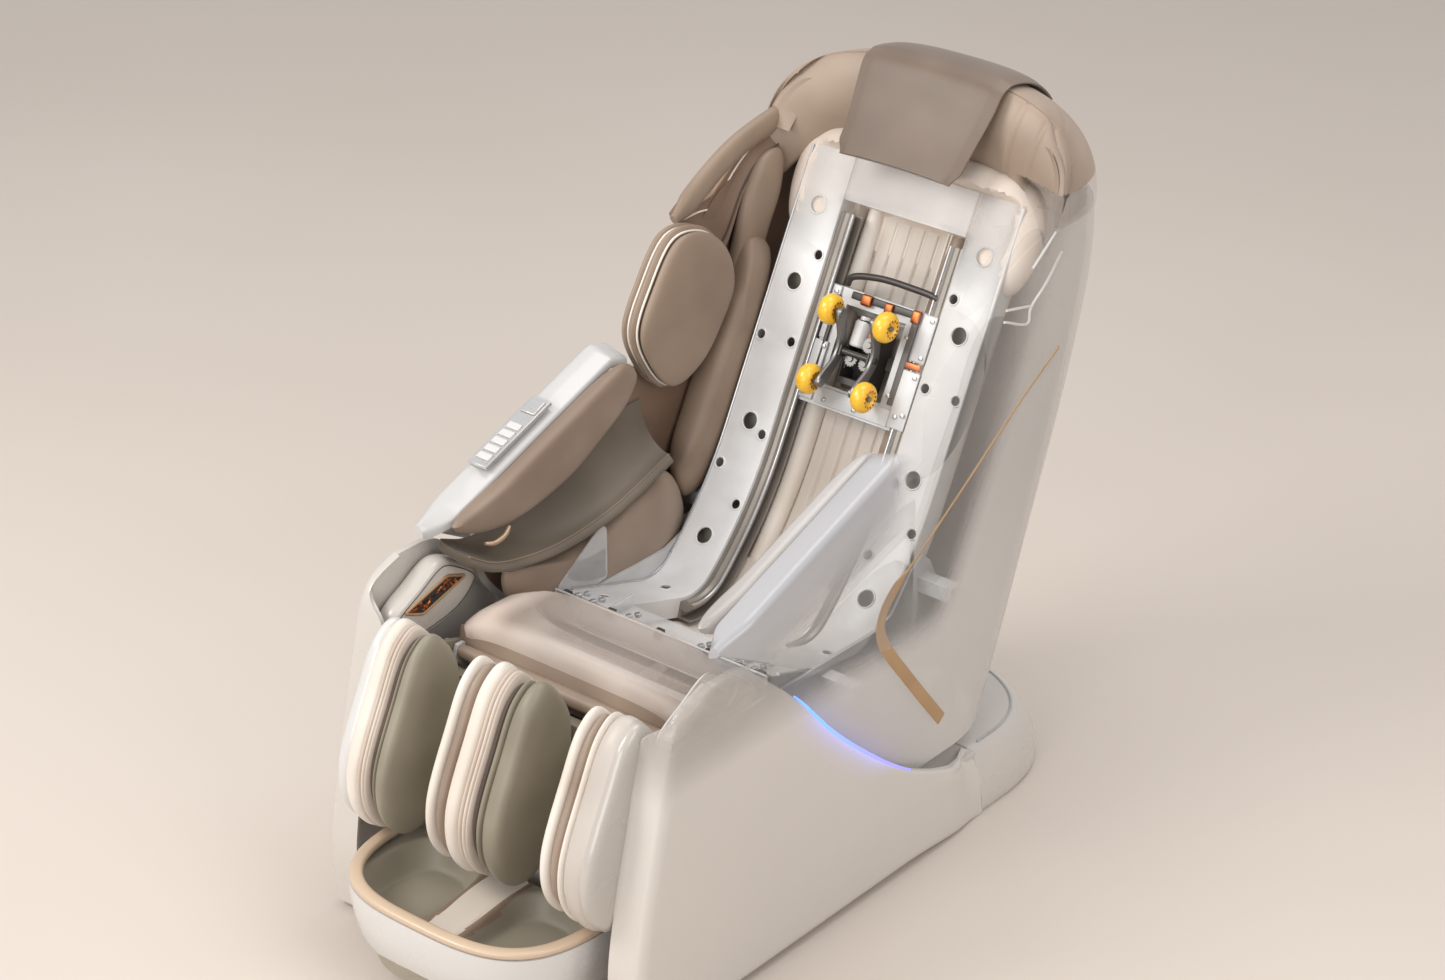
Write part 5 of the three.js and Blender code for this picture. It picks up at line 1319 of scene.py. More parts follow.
@dataclass
class Back(Assembly):
    """Quilted liner behind the carriage, head pillow, side bolsters and shoulder cushions."""

    channels: int = 7
    liner_half: float = 118.0
    brim: float = 236.0
    pillow_half: float = 276.0
    pillow_z: float = 1070.0
    wall_x: float = 318.0
    cell_centre: tuple = (200.0, 890.0)

    def liner(self) -> None:
        """The quilted board: its middle stands in soft channels, and its brim lies behind the track."""
        f = self.shop.finishes
        rows, brim = TRACK.path(1062, "hip"), self.brim
        x = np.linspace(-self.liner_half, self.liner_half, 150)
        wave = 1 - sum(crease(x, c, 2.4) for c in (-84, -52, -20, 12, 44))
        bulge = 12 * (1 - (np.abs(x) / self.liner_half) ** 4)
        section = np.concatenate([
            [(-brim, -40.5), (-128, -40.5), (-123, -70)], np.column_stack([x, -82 + 4 * wave + bulge]),
            [(123, -70), (128, -40.5), (brim, -40.5), (brim, -56), (134, -56), (126, -100), (-126, -100),
             (-134, -56), (-brim, -56)]])
        self.add("back_liner_piece", swept(section, rows), f.quilt, "cream_leather", 0.7, sharp=50)
        # The +X roll is brown and the -X roll cream: the brown is painted shade on the liner's rounded +X
        # side.
        for side, x, thick, tone in ((Side.LEFT, 88.0, 27.0, f.brown), (Side.RIGHT, 104.0, 22.0, f.cream)):
            size = thick * tapered(len(rows), 0.2, 0.3)
            roll = mirrored(tubed(beside(rows, x, -thick - 44), size, 20), side)
            self.add(f"liner_roll_{side.word}", roll, tone, "tan_leather", 0.8)
        for k, (x, n) in enumerate(((63.0, -66.0), (75.0, -59.5))):
            piping = tubed(beside(rows, x, n), 2.4, 8)
            self.add(f"liner_piping_{k + 1}", piping, f.piping, "cream_leather")
        path = TRACK.path(TRACK.top_z)[40:-3]
        section = np.column_stack([np.linspace(-brim, brim, 60), np.full(60, -44.0)])
        section[:, 1] -= 5 * np.abs(np.sin(section[:, 0] / brim * 3.5 * np.pi)) ** 0.5
        seat_back = swept(np.concatenate([section, [(brim, -58), (-brim, -58)]]), path)
        self.add("seat_back_panel", seat_back, f.cream, "cream_leather", 0.5, sharp=50)

    def lining(self) -> None:
        """Leather lining on the inner face of the shell's right wall and back; its dark brown is painted
        shade of the recess.
        """
        f = self.shop.finishes
        turn, z = np.meshgrid(np.linspace(0.006, 0.42, 60), np.linspace(430, 1108, 80))
        lining = sheeted(shell_point(turn, z, 12.4), shell_point(turn, z, 17.0))
        self.add("side_lining", lining, f.recess, "tan_leather", 0.3, sharp=60)

    def pillow(self) -> None:
        """The head pillow: a crowned lens along the track with sewn channels up its face."""
        f = self.shop.finishes
        half, brim = self.pillow_half, self.brim
        outline = curve(
            [(-half, -40), (-half + 30, -90), (0, -104), (half - 30, -90), (half, -40), (half, 40),
             (half - 40, 88), (0, 102), (40 - half, 88), (-half, 40)], 132, closed=True)

        def place(x: Array, v: Array, w: Array) -> Array:
            """Front face swells between its channels; the carriage's way is kept free below."""
            z = self.pillow_z + v
            groove = np.abs(np.sin((x / half) * self.channels * np.pi / 2)) ** 0.6
            n = -30 + np.where(w > 0, w * (46 + 7 * groove), w * 50)
            inside = smooth(133 - np.abs(x), 0, 12)
            hold = lerp(60, -6, np.maximum(inside, smooth(brim - np.abs(x), 0, 8)))
            n = np.minimum(n, lerp(hold, 60, smooth(z, TRACK.top_z + 2, TRACK.top_z + 16)))
            free = smooth(142 - np.abs(x), 0, 6) * smooth(1058 - z, 0, 14)
            return TRACK.at(x, z, lerp(n, np.minimum(n, -69), free))

        pillow = cushion(outline, place, 40, 0.5)
        self.add("head_pillow_piece", pillow, f.rose, "cream_leather", 0.8, sharp=60)

    def bolster(self, side: Side) -> None:
        """The padding along the side wall, in a low and a high part."""
        f = self.shop.finishes
        low = curve(
            [(196, 500), (170, 560), (216, 660), (278, 770), (342, 880), (388, 966), (440, 940), (404, 830),
             (340, 700), (290, 600), (240, 520)], 90, closed=True)
        high = curve(
            [(350, 880), (372, 965), (404, 1056), (452, 1108), (500, 1108), (500, 1050), (456, 960),
             (410, 870), (366, 840)], 80, closed=True)
        parts = [standing(line, inner, self.wall_x, 20, 0.4) for line, inner in ((low, 248.0), (high, 280.0))]
        obj = mirrored(merged(*parts), side)
        self.add(f"back_bolster_{side.word}_piece", obj, side.pick(f.thin, f.tan), "tan_leather", 0.8)

    def shoulder(self, side: Side) -> None:
        """Three air cells with bright piping in their folds, partly a painted highlight on the folds, or one
        plain cell on the see-through side.
        """
        f, middle = self.shop.finishes, np.array(self.cell_centre)
        around = curve(
            [(170, 1046), (99, 966), (61, 889), (76, 830), (148, 744), (232, 762), (300, 832),
             (336, 900), (318, 975), (256, 1034)], 72, closed=True) - middle
        cells = side.pick(((258, 322, 1.0),), ((258, 283, 0.95), (282, 303, 1.0), (302, 322, 0.99)))
        parts = [standing(middle + around * share, low, high, 16, 0.2) for low, high, share in cells]
        pad = mirrored(merged(*parts), side)
        self.add(f"shoulder_pad_{side.word}_piece", pad, side.pick(f.thin, f.tan), "tan_leather", 0.9)
        if side is Side.RIGHT:
            # The pale piping stands partly for highlight lines along the cells' folds.
            pipes = [tubed(at_x(middle + around * share, x), 2.3, 8, closed=True)
                     for x, share in ((282.4, 0.945), (302.4, 0.955))]
            self.add("shoulder_piping_right", mirrored(merged(*pipes), side), f.piping, "cream_leather")

    def build(self) -> None:
        """Makes the back's upholstery."""
        self.liner()
        self.lining()
        self.pillow()
        for side in Side:
            self.bolster(side)
            self.shoulder(side)


@dataclass
class Canopy(Assembly):
    """Hood, wings that run down to the shoulders, and the flap over the hood."""

    hood_low: float = 1118.3
    hood_top: float = 1314.0
    front_low: float = 488.0
    front_top: float = 600.0
    arch_half: float = 341.0
    side_power: float = 0.72
    rise_power: float = 0.62
    fall_power: float = 0.75
    strap_half: float = 156.0
    strap_lift: float = 7.5

    def point(self, turn: Array, back: Array, depth: Array) -> Array:
        """A point of the hood: an arch over the head (turn) that closes down behind (back)."""
        turn, back, depth = np.broadcast_arrays(*(np.asarray(v, float) for v in (turn, back, depth)))
        angle = np.pi * turn
        rise, fall = np.sin(angle) ** self.rise_power, back * np.pi / 2
        hem = shell_point(turn, np.full_like(turn, 1118.0), depth - 4)
        x = -bulged(np.cos(angle), self.side_power) * (self.arch_half - depth)
        y = lerp(lerp(self.front_low, self.front_top, rise), hem[..., 1], np.sin(fall))
        z = self.hood_low + (self.hood_top - depth - self.hood_low) * rise * np.cos(fall) ** self.fall_power
        return np.stack([lerp(x, hem[..., 0], np.sin(fall) ** 2), y, z], axis=-1)

    def hood(self) -> None:
        """The padded hood with a rolled front rim and two sewn seams over it."""
        f = self.shop.finishes
        u, v = np.meshgrid(np.linspace(0.02, 0.98, 110), np.linspace(0, 1, 44) ** 1.3)
        seam = sum(crease(u, c, 0.006) for c in (0.24, 0.76)) * 2.4 + 2.0 * crease(v, 0.42, 0.016)
        front = self.point(u, v, seam)
        back = self.point(u, v, lerp(58, 16, smooth(v, 0, 0.5)))
        self.add("hood_piece", sheeted(front, back), f.hood, "tan_leather", 0.8, sharp=70)
        fall = np.linspace(0.0, 0.8, 40)
        share = (1176 - self.hood_low) / (self.hood_top - self.hood_low)
        rise = share / np.cos(fall * np.pi / 2) ** self.fall_power
        end = self.point(1 - np.arcsin(rise ** (1 / self.rise_power)) / np.pi, fall, 0.0)
        self.add("hood_end_piping", tubed(end, 3.0, 10), f.seam, "tan_leather")
        self.brow()

    def brow(self) -> None:
        """The padded lining that closes the arch: it swells between the rim and the pillow's top."""
        f = self.shop.finishes
        u, v = np.meshgrid(np.linspace(0.05, 0.95, 120), np.linspace(0, 1, 40))
        high = self.point(u, 0.0, 3.0)
        x = high[..., 0] * 0.9
        low_z = 1160 - 80 * (np.abs(x) / 280) ** 4
        low = np.stack([x, 566 + (low_z - 1150) * 0.53, np.minimum(low_z, high[..., 2] - 12)], axis=-1)
        swell = 22 * np.sin(np.pi * v) ** 0.7
        swell = swell - 3 * sum(crease(x, c, 3.0) for c in (176, 226))
        face = lerp(high, low, v[..., None]) + np.array([0, -1, 0.3]) * swell[..., None]
        back = lerp(high, low, v[..., None]) + np.array([0, 10, 0])
        self.add("hood_brow", sheeted(face, back), f.hood, "tan_leather", 0.7, sharp=70)

    def wing(self, side: Side) -> None:
        """The rim from the hood to the shoulder and, on the far side, a copper-trimmed inner panel behind it,
        whose dark brown is painted shade of the recess.
        """
        f = self.shop.finishes
        line = curve(
            [(226, 1044), (258, 1062), (284, 1078), (324, 1100), (388, 1128), (450, 1144), (540, 1158)], 40)
        size = lerp(0.55, 1, smooth(np.linspace(0, 1, 40), 0, 0.15))[:, None]
        tangent, a = unit(np.gradient(line, axis=0)), circle(28)
        x, n = 326 + 16 * size * np.cos(a), 25 * size * np.sin(a)
        rings = np.stack([x, line[:, :1] - n * tangent[:, 1:], line[:, 1:] + n * tangent[:, :1]], axis=-1)
        rim = mirrored(lofted(rings), side)
        self.add(f"hood_wing_{side.word}", rim, side.pick(f.thin, f.tan), "tan_leather", 0.8)
        if side is Side.LEFT:
            return
        top = curve([(222, 1058), (284, 1096), (344, 1124), (404, 1146), (466, 1160), (556, 1172)], 60)
        low = curve([(240, 1020), (300, 985), (340, 955), (400, 1050), (444, 1092), (530, 1112)], 60)
        v = np.linspace(0, 1, 24)[:, None]
        yz = lerp(top[None], low[None], v[..., None])
        depth = -(lerp(328, 303, v) + 8 * np.sin(np.pi * v) ** 0.7 - 4 * crease(v, 0.42, 0.03))
        face = np.concatenate([np.broadcast_to(depth, yz.shape[:2])[..., None], yz], axis=-1)
        # The panel's dark brown is painted shade of the recess behind the rim.
        self.add("wing_panel", sheeted(face, face - [7, 0, 0]), f.recess, "tan_leather", 0.4, sharp=70)
        beads = ((7, 6.0, f.satin_copper), (11, 2.0, f.piping), (21, 2.0, f.seam))
        for k, (row, r, tone) in enumerate(beads):
            self.add(f"wing_trim_{k + 1}", tubed(face[row] + [2, 0, 0], r, 10), tone, "bronze_trim")

    def flap(self) -> None:
        """The strap pad that comes over the hood, with a sewn edge on both sides."""
        f, half, lift = self.shop.finishes, self.strap_half, self.strap_lift
        line = curve([(600, 1321.5), (576, 1313), (549, 1276), (508, 1220), (458, 1162)], 48)
        tangent = unit(np.gradient(line, axis=0))
        u = np.linspace(-1, 1, 50)

        def turned(share: Array) -> Array:
            """The arch's turn at which x is a share of the strap's half width."""
            cosine = (np.abs(share) * half / (self.arch_half + lift)) ** (1 / self.side_power)
            angle = np.arccos(cosine) / np.pi
            return np.where(share < 0, angle, 1 - angle)

        edge, groove = 1 - np.abs(u) ** 8, 1.8 * crease(np.abs(u), 0.93, 0.012)
        middle = self.point(turned(u), 0.0, -lift) - [0, *line[0]]
        back = np.linspace(0.62, 0, 34)[:, None]
        narrow = half / self.point(turned(u)[-1], back, -lift)[..., 0]
        down = np.linspace(0, 1, 48)[1:, None]
        faces = []
        for sign in (1, -1):
            depth = sign * (lerp(1.5, 7, edge) - groove)
            over = self.point(turned(u * narrow), back, (depth - lift)[None])
            x = u * lerp(half, 138, smooth(down, 0.1, 0.9))
            y = line[1:, :1] - depth * tangent[1:, 1:] + middle[:, 1] * (1 - down)
            z = line[1:, 1:] + depth * tangent[1:, :1] + middle[:, 2] * (1 - down) - 5 * u ** 2 * down
            round_off = 1 - 0.10 * smooth(down, 0.86, 1) * smooth(np.abs(u), 0.75, 1)
            faces.append(np.concatenate([over, np.stack([x * round_off, y, z], axis=-1)]))
        self.add("head_flap_piece", sheeted(*faces), f.strap, "tan_leather", 0.6, sharp=60)

    def build(self) -> None:
        """Makes the canopy."""
        self.hood()
        self.flap()
        for side in Side:
            self.wing(side)


@dataclass
class Shell(Assembly):
    """The back shell and the bronze stripe down its side."""

    half: float = 337.0
    wall: float = 12.0
    front_line: tuple = (
        (176, 92), (250, -28), (350, -152), (450, -256), (556, -330), (650, -330), (720, -215), (765, -60),
        (800, 125), (880, 125), (960, 178), (1020, 286), (1068, 352), (1094, 420), (1118, 500))
    turn_line: tuple = ((176, 205), (300, 250), (500, 322), (800, 452), (1000, 520), (1118, 530))
    rear_line: tuple = (
        (176, 470), (300, 532), (480, 610), (700, 692), (860, 740), (1000, 770), (1080, 772), (1118, 764))
    ribs: tuple = (
        ((515, 1104), (446, 1056)), ((537, 1059), (491, 1013), (444, 978), (440, 953), (365, 980)),
        ((370, 1001), (440, 985)))

    def build(self) -> None:
        """Makes the shell and its stripes."""
        f = self.shop.finishes
        z = np.unique(np.concatenate([np.linspace(176, 1118, 90), [800, 880, 650, 556]]))
        wall = np.linspace(0, 0.25, 14)
        turn = np.concatenate([wall[:-1], np.linspace(0.25, 0.75, 57), np.linspace(0.75, 1, 14)[1:]])
        u, v = np.meshgrid(turn, z)
        body = sheeted(shell_point(u, v, 0.0), shell_point(u, v, self.wall))
        self.add("back_shell_piece", body, f.shell, "clear_shell", sharp=50)
        # Ribs inside the near shell: real ribs in shape, and their opaque white is a painted highlight on the
        # clear shell.
        for k, corners in enumerate(self.ribs):
            bend = at_x(np.array(corners, float), 322.0)
            steps = np.linspace(0, 1, 8)[:, None]
            rib = curve(bend, 30) if len(bend) > 2 else lerp(bend[:1], bend[1:], steps)
            self.add(f"shell_rib_{k + 1}", tubed(rib, 2.6, 8), f.white, "clear_shell")
        line = curve(
            [(519, 882), (414, 822), (326, 766), (224, 700), (123, 636), (30, 576), (7, 549), (0, 515),
             (20, 470), (75, 396), (130, 325), (190, 250)], 90)
        width = 2.2 + 11 * smooth(np.linspace(0, 1, 90), 0.53, 0.58)
        tangent = unit(np.gradient(line, axis=0))
        across = np.stack([-tangent[:, 1], tangent[:, 0]], axis=1)
        for side in Side:
            rings = [at_x(line + k * width[:, None] * across, lift)
                     for lift, k in ((336.6, -1), (338.2, -0.8), (338.2, 0.8), (336.6, 1))]
            stripe = mirrored(lofted(np.array(rings).transpose(1, 0, 2), False), side)
            self.add(f"accent_stripe_{side.word}", stripe, f.bronze, "bronze_trim")


@dataclass
class Arms(Assembly):
    """Arm shells, their pads and scooped shelves, and the control strip."""

    tip_y: float = -460.0
    tip_z: float = 690.0
    slope: float = math.radians(20.1)
    crest_y: float = 15.0
    fall: float = 0.3

    def top(self, y: Array) -> Array:
        """Height of the arm's top: a slope up to the crest, then a gentle fall."""
        rise = self.tip_z + (np.minimum(y, self.crest_y) - self.tip_y) * math.tan(self.slope)
        return rise - np.maximum(y - self.crest_y, 0) * self.fall

    def shell(self, side: Side) -> None:
        """An upside-down L in section: rounded top band and outer wall, drawn along y."""
        f = self.shop.finishes
        y = np.concatenate([[-460, -459, -456, -450], np.linspace(-440, 58, 60)])
        high = self.top(y)
        low = table([(-460, 676), (-400, 644), (-330, 604), (-230, 549), (-110, 509), (58, 480)], y)
        lip = np.minimum(18, (high - low) * 0.8)
        outer = 362 - 12 * (1 - smooth(y, -462, -380))
        inner = lerp(330, 300, smooth(y, -470, -400))
        wall = np.minimum(outer - 2, 347)
        rings = []
        for o, i, w, h, l, p, yy in zip(outer, inner, wall, high, low, lip, y):
            ring = fillet(
                [(i - 2, h - 15), (o - 13, h), (o, h - 9), (o, l), (w, l), (w, h - p - 6),
                 (i - 2, h - p - 17)], 6, 4)
            rings.append(np.insert(ring, 1, yy, axis=1))
        obj = mirrored(lofted(np.array(rings), fan=False), side)
        self.add(f"arm_shell_{side.word}_piece", obj, side.pick(f.blade, f.arm), "white_shell", sharp=45)

    def pad(self, side: Side) -> None:
        """The cushion under the arm's inner edge."""
        f = self.shop.finishes
        outline = curve(
            [(-430, 690), (-395, 664), (-300, 645), (-140, 672), (-40, 720), (40, 770), (62, 808),
             (36, 838), (0, 838), (-140, 792), (-300, 734)], 90, closed=True)
        obj = mirrored(standing(outline, 262.0, 299.6, 20, 0.3), side)
        self.add(f"arm_pad_{side.word}_piece", obj, side.pick(f.hazy_pad, f.brown), "tan_leather", 0.8)

    def shelf(self, side: Side) -> None:
        """The forearm scoop: a quarter turn from its free edge up to the wall."""
        f = self.shop.finishes
        u, v = np.meshgrid(np.linspace(0, 1, 36), np.linspace(0, 1, 60))
        y, angle = lerp(-425, 116, v), u * np.pi / 2
        edge = table(
            [(-425, 640), (-370, 606), (-300, 584), (-180, 570), (-60, 580), (50, 608), (116, 630)], y)
        rise = table([(-425, 14), (-300, 42), (-100, 100), (50, 112), (116, 96)], y) * (1 - np.cos(angle))
        x = lerp(238, 318, np.sin(angle))
        roll = 8 * (1 - np.clip(u / 0.12, 0, 1)) ** 2
        face = np.stack([x, y, edge + rise - roll], axis=-1)
        under = np.stack([np.minimum(x + 5 * u, 322), y, edge + rise - 20 + roll], axis=-1)
        obj = mirrored(sheeted(face, under), side)
        finish = side.pick(f.thin, f.scoop)
        self.add(f"arm_shelf_{side.word}_piece", obj, finish, "taupe_leather", 0.6, sharp=70)
        if side is Side.RIGHT:
            piping = mirrored(tubed(face[:, 3] + [0, 0, 1.2], 1.5, 8), side)
            self.add("shelf_piping_right", piping, f.tan, "tan_leather")
            line = curve([(-262, -370, 640), (-256, -352, 636), (-256, -325, 640), (-262, -306, 648)], 20)
            tab = tubed(line, 5 * tapered(20, 0.4, 0.5), 12)
            self.add("shelf_tab", tab, f.satin_copper, "bronze_trim")

    def build(self) -> None:
        """Makes both arms and the controls."""
        f = self.shop.finishes
        for side in Side:
            self.shell(side)
            self.pad(side)
            self.shelf(side)
        self.refined("control_panel", f.silver, "silver_plastic", 2.2)
        self.refined("touch_pad", f.silver, "silver_plastic", 1.2)
        for k in range(1, 6):
            self.refined(f"key_{k}", f.white, "silver_plastic", 1.6, body=f"key_{k}")


@dataclass
class Carriage(Assembly):
    """The massage carriage: its frame, head, motor, rocking arms and rollers."""

    body: ClassVar[str] = "carriage"
    middle_z: float = 815.0
    roller_x: float = 62.0
    apart: float = 134.0
    out: float = 44.0

    def put(self, body: tuple) -> tuple:
        """From the carriage's own frame (x across, -y to the sitter, z up the track) to the chair."""
        row = TRACK.straight(self.middle_z)[0]
        s, c = math.sin(TRACK.lean), math.cos(TRACK.lean)
        turn = np.array([[1, 0, 0], [0, c, -s], [0, s, c]])
        return body[0] @ turn + np.array([0, row[0], row[1]]), body[1]

    def box(self, x: tuple, y: tuple, z: tuple, edge: float = 1.6) -> tuple:
        """A block with rounded edges in the carriage's own frame."""
        outline = fillet([(y[0], z[0]), (y[1], z[0]), (y[1], z[1]), (y[0], z[1])], edge * 2, 4)
        return slabbed(outline, x[0], x[1], edge)

    def gear(self, x: float, y: float, z: float, radius: float, teeth: int) -> tuple:
        """A toothed wheel that faces the sitter: its radius steps between teeth and gaps."""
        a = circle(teeth * 4)
        r = radius * np.where(np.arange(teeth * 4) % 4 < 2, 1.0, 0.86)
        rings = [np.column_stack([x + k * r * np.cos(a), np.full(len(a), y + depth), z + k * r * np.sin(a)])
                 for depth, k in ((6, 1.0), (0, 1.0), (-0.6, 0.94), (-0.6, 0.4), (-4, 0.36))]
        return lofted(np.array(rings), fan=False)

    def dress(self) -> None:
        """Cover plates over the near rail, the dark gear case, copper windings, motor can and bow."""
        f = self.shop.finishes
        plates = [self.box((98, 136), (1, 6), (-106, 4)), self.box((106, 136), (0, 6), (22, 112)),
                  self.box((-108, -78), (2, 7.6), (-106, 6)), self.box((-104, -86), (3, 7.6), (10, 112)),
                  self.box((-70, 96), (4, 7.6), (-108, -76))]
        case = [self.box((-60, 98), (2, 7.6), (96, 110)), self.box((84, 98), (2, 7.6), (-68, 96)),
                self.box((-92, -84), (2, 7.6), (-60, 96)), self.box((-30, 18), (10, 20), (-66, -44), 2.5),
                self.box((-30, 30), (29, 36), (-30, 60), 2)]
        copper = [self.box((-34, -12), (-4, 6), (90, 112), 2.5), self.box((20, 38), (-4, 6), (90, 110), 2.5),
                  self.box((82, 100), (-4, 6), (88, 113), 2.5), self.box((98, 132), (1, 8), (6, 20), 1.5)]
        gears = [self.gear(*row) for row in (
            (16, -6, 24, 16, 18), (-14, -6, -10, 15, 14), (17, -4, -12, 14, 14))]
        can = [tubed(np.array([[-14, 3.5, z] for z in (14, 17, 60, 63)]), np.array([15, 17, 17, 15]), 28),
               tubed(np.array([[-14, 3.5, z] for z in (65, 72)]), np.array([11, 10]), 24)]
        studs = [knob(at, (0, -1, 0), (3.5, 4), (4.2, 2.4), 12) for at in (
            (128, -1, -78), (112, 1, -84), (128, 1, -6), (128, 0, 32), (128, 0, 102), (-100, 2, -96),
            (-84, 2, -4), (-94, 3, 100), (20, 4, -98), (-50, 4, -98), (84, 2, 60), (84, 2, -52))]
        bow = curve(
            [(-84, 14, 118), (-76, 8, 132), (-20, 6, 146), (60, 6, 148), (118, 8, 144), (132, 12, 136)], 50)
        wires = [curve([(-31, 0, 70), (-32, -2, 56), (-31, 0, 20), (-28, 4, -30)], 30),
                 curve([(31, 0, 70), (33, -2, 56), (33, 0, 10), (26, 4, -44)], 30),
                 curve([(-30, 0, 68), (-8, -5, 64), (14, -4, 65), (31, 0, 70)], 30)]
        groups = (
            ("carriage_plates", plates, f.alloy), ("gear_case", case, f.dark),
            ("copper_blocks", copper, f.copper), ("plate_studs", studs, f.chrome),
            ("carriage_bow", [tubed(bow, 6.5, 14)], f.dark))
        for name, parts, finish in groups:
            self.add(name, self.put(merged(*parts)), finish, "light_alloy", sharp=40)
        inner = (("motor_can", can, f.white), ("gear_train", gears, f.gunmetal),
                 ("wire_loom", [tubed(w, 2.2, 8) for w in wires], f.black))
        for name, parts, finish in inner:
            self.add(name, self.put(merged(*parts)), finish, "dark_metal", body="massage_head", sharp=30)

    def wheel(self, side: Side, end: int) -> None:
        """A round roller turned about its pin: a thick ring with dished sides and a dark hub."""
        f = self.shop.finishes
        body = f"roller_{'upper' if end > 0 else 'lower'}_{side.word}"
        profile = np.concatenate([
            [(5.6, -10.5), (10.5, -10.5)],
            curve([(11, -10.5), (16, -15.6), (23, -13.6), (28, -7.2), (29.3, 0), (28, 7.2), (23, 13.6),
                   (16, 15.6), (11, 10.5)], 34),
            [(10.5, 10.5), (5.6, 10.5)]])
        a, (radius, height) = circle(48), np.split(profile, 2, axis=1)
        centre = np.array([side.value * (self.roller_x + 1), -self.out, end * self.apart / 2])
        rings = np.broadcast_arrays(height, radius * np.cos(a), radius * np.sin(a))
        tyre = self.put(looped(np.stack(rings, axis=-1) + centre))
        self.add(f"{body}_piece", tyre, f.amber, "amber_rubber", body=body)
        pits = [knob(centre + [face * 15.0, 16 * math.cos(turn), 16 * math.sin(turn)],
                     (face, 0, 0), (0.9, 1.2), (2.2, 1.2), 8)
                for face in (-1, 1) for turn in circle(12)]
        self.add(f"{body}_pits", self.put(merged(*pits)), f.copper, "amber_rubber", body=body)

    def arm(self, side: Side) -> None:
        """A rocking arm: a bent plate from roller to roller with round bosses and its two pins."""
        f, s = self.shop.finishes, side.value
        x = s * (self.roller_x - 19)
        out, pivot, apart = -self.out, -14.0, self.apart / 2
        line = curve(
            [(pivot + 12, 0), (pivot + 6, 26), (out + 8, apart + 8), (out - 8, apart + 4),
             (out - 8, apart - 10), (pivot - 12, 14), (pivot - 12, -14), (out - 8, 10 - apart),
             (out - 8, -apart - 4), (out + 8, -apart - 8), (pivot + 6, -26)], 80, closed=True)
        parts = [slabbed(line, min(x, x - s * 7), max(x, x - s * 7), 1.6)]
        for end in (-1, 1):
            z = end * apart
            for steps, radius, sides in (((-1, 20, 35), 5, 20), ((-9, -4, 2), 9.5, 24)):
                parts.append(tubed(np.array([[x + s * step, out, z] for step in steps]), radius, sides))
        arm, body = self.put(merged(*parts)), f"massage_arm_{side.word}"
        self.add(f"{body}_piece", arm, f.gunmetal, "light_alloy", body=body)

    def build(self) -> None:
        """Makes the carriage's pieces."""
        f = self.shop.finishes
        self.refined("carriage_frame", f.alloy, "light_alloy", 0.9)
        self.dress()
        self.refined("head_frame", f.dark, "dark_metal", 0.8, body="massage_head")
        self.refined("knead_motor", f.copper, "copper_winding", 1.0, body="massage_head")
        for side in Side:
            self.arm(side)
            for end in (1, -1):
                self.wheel(side, end)


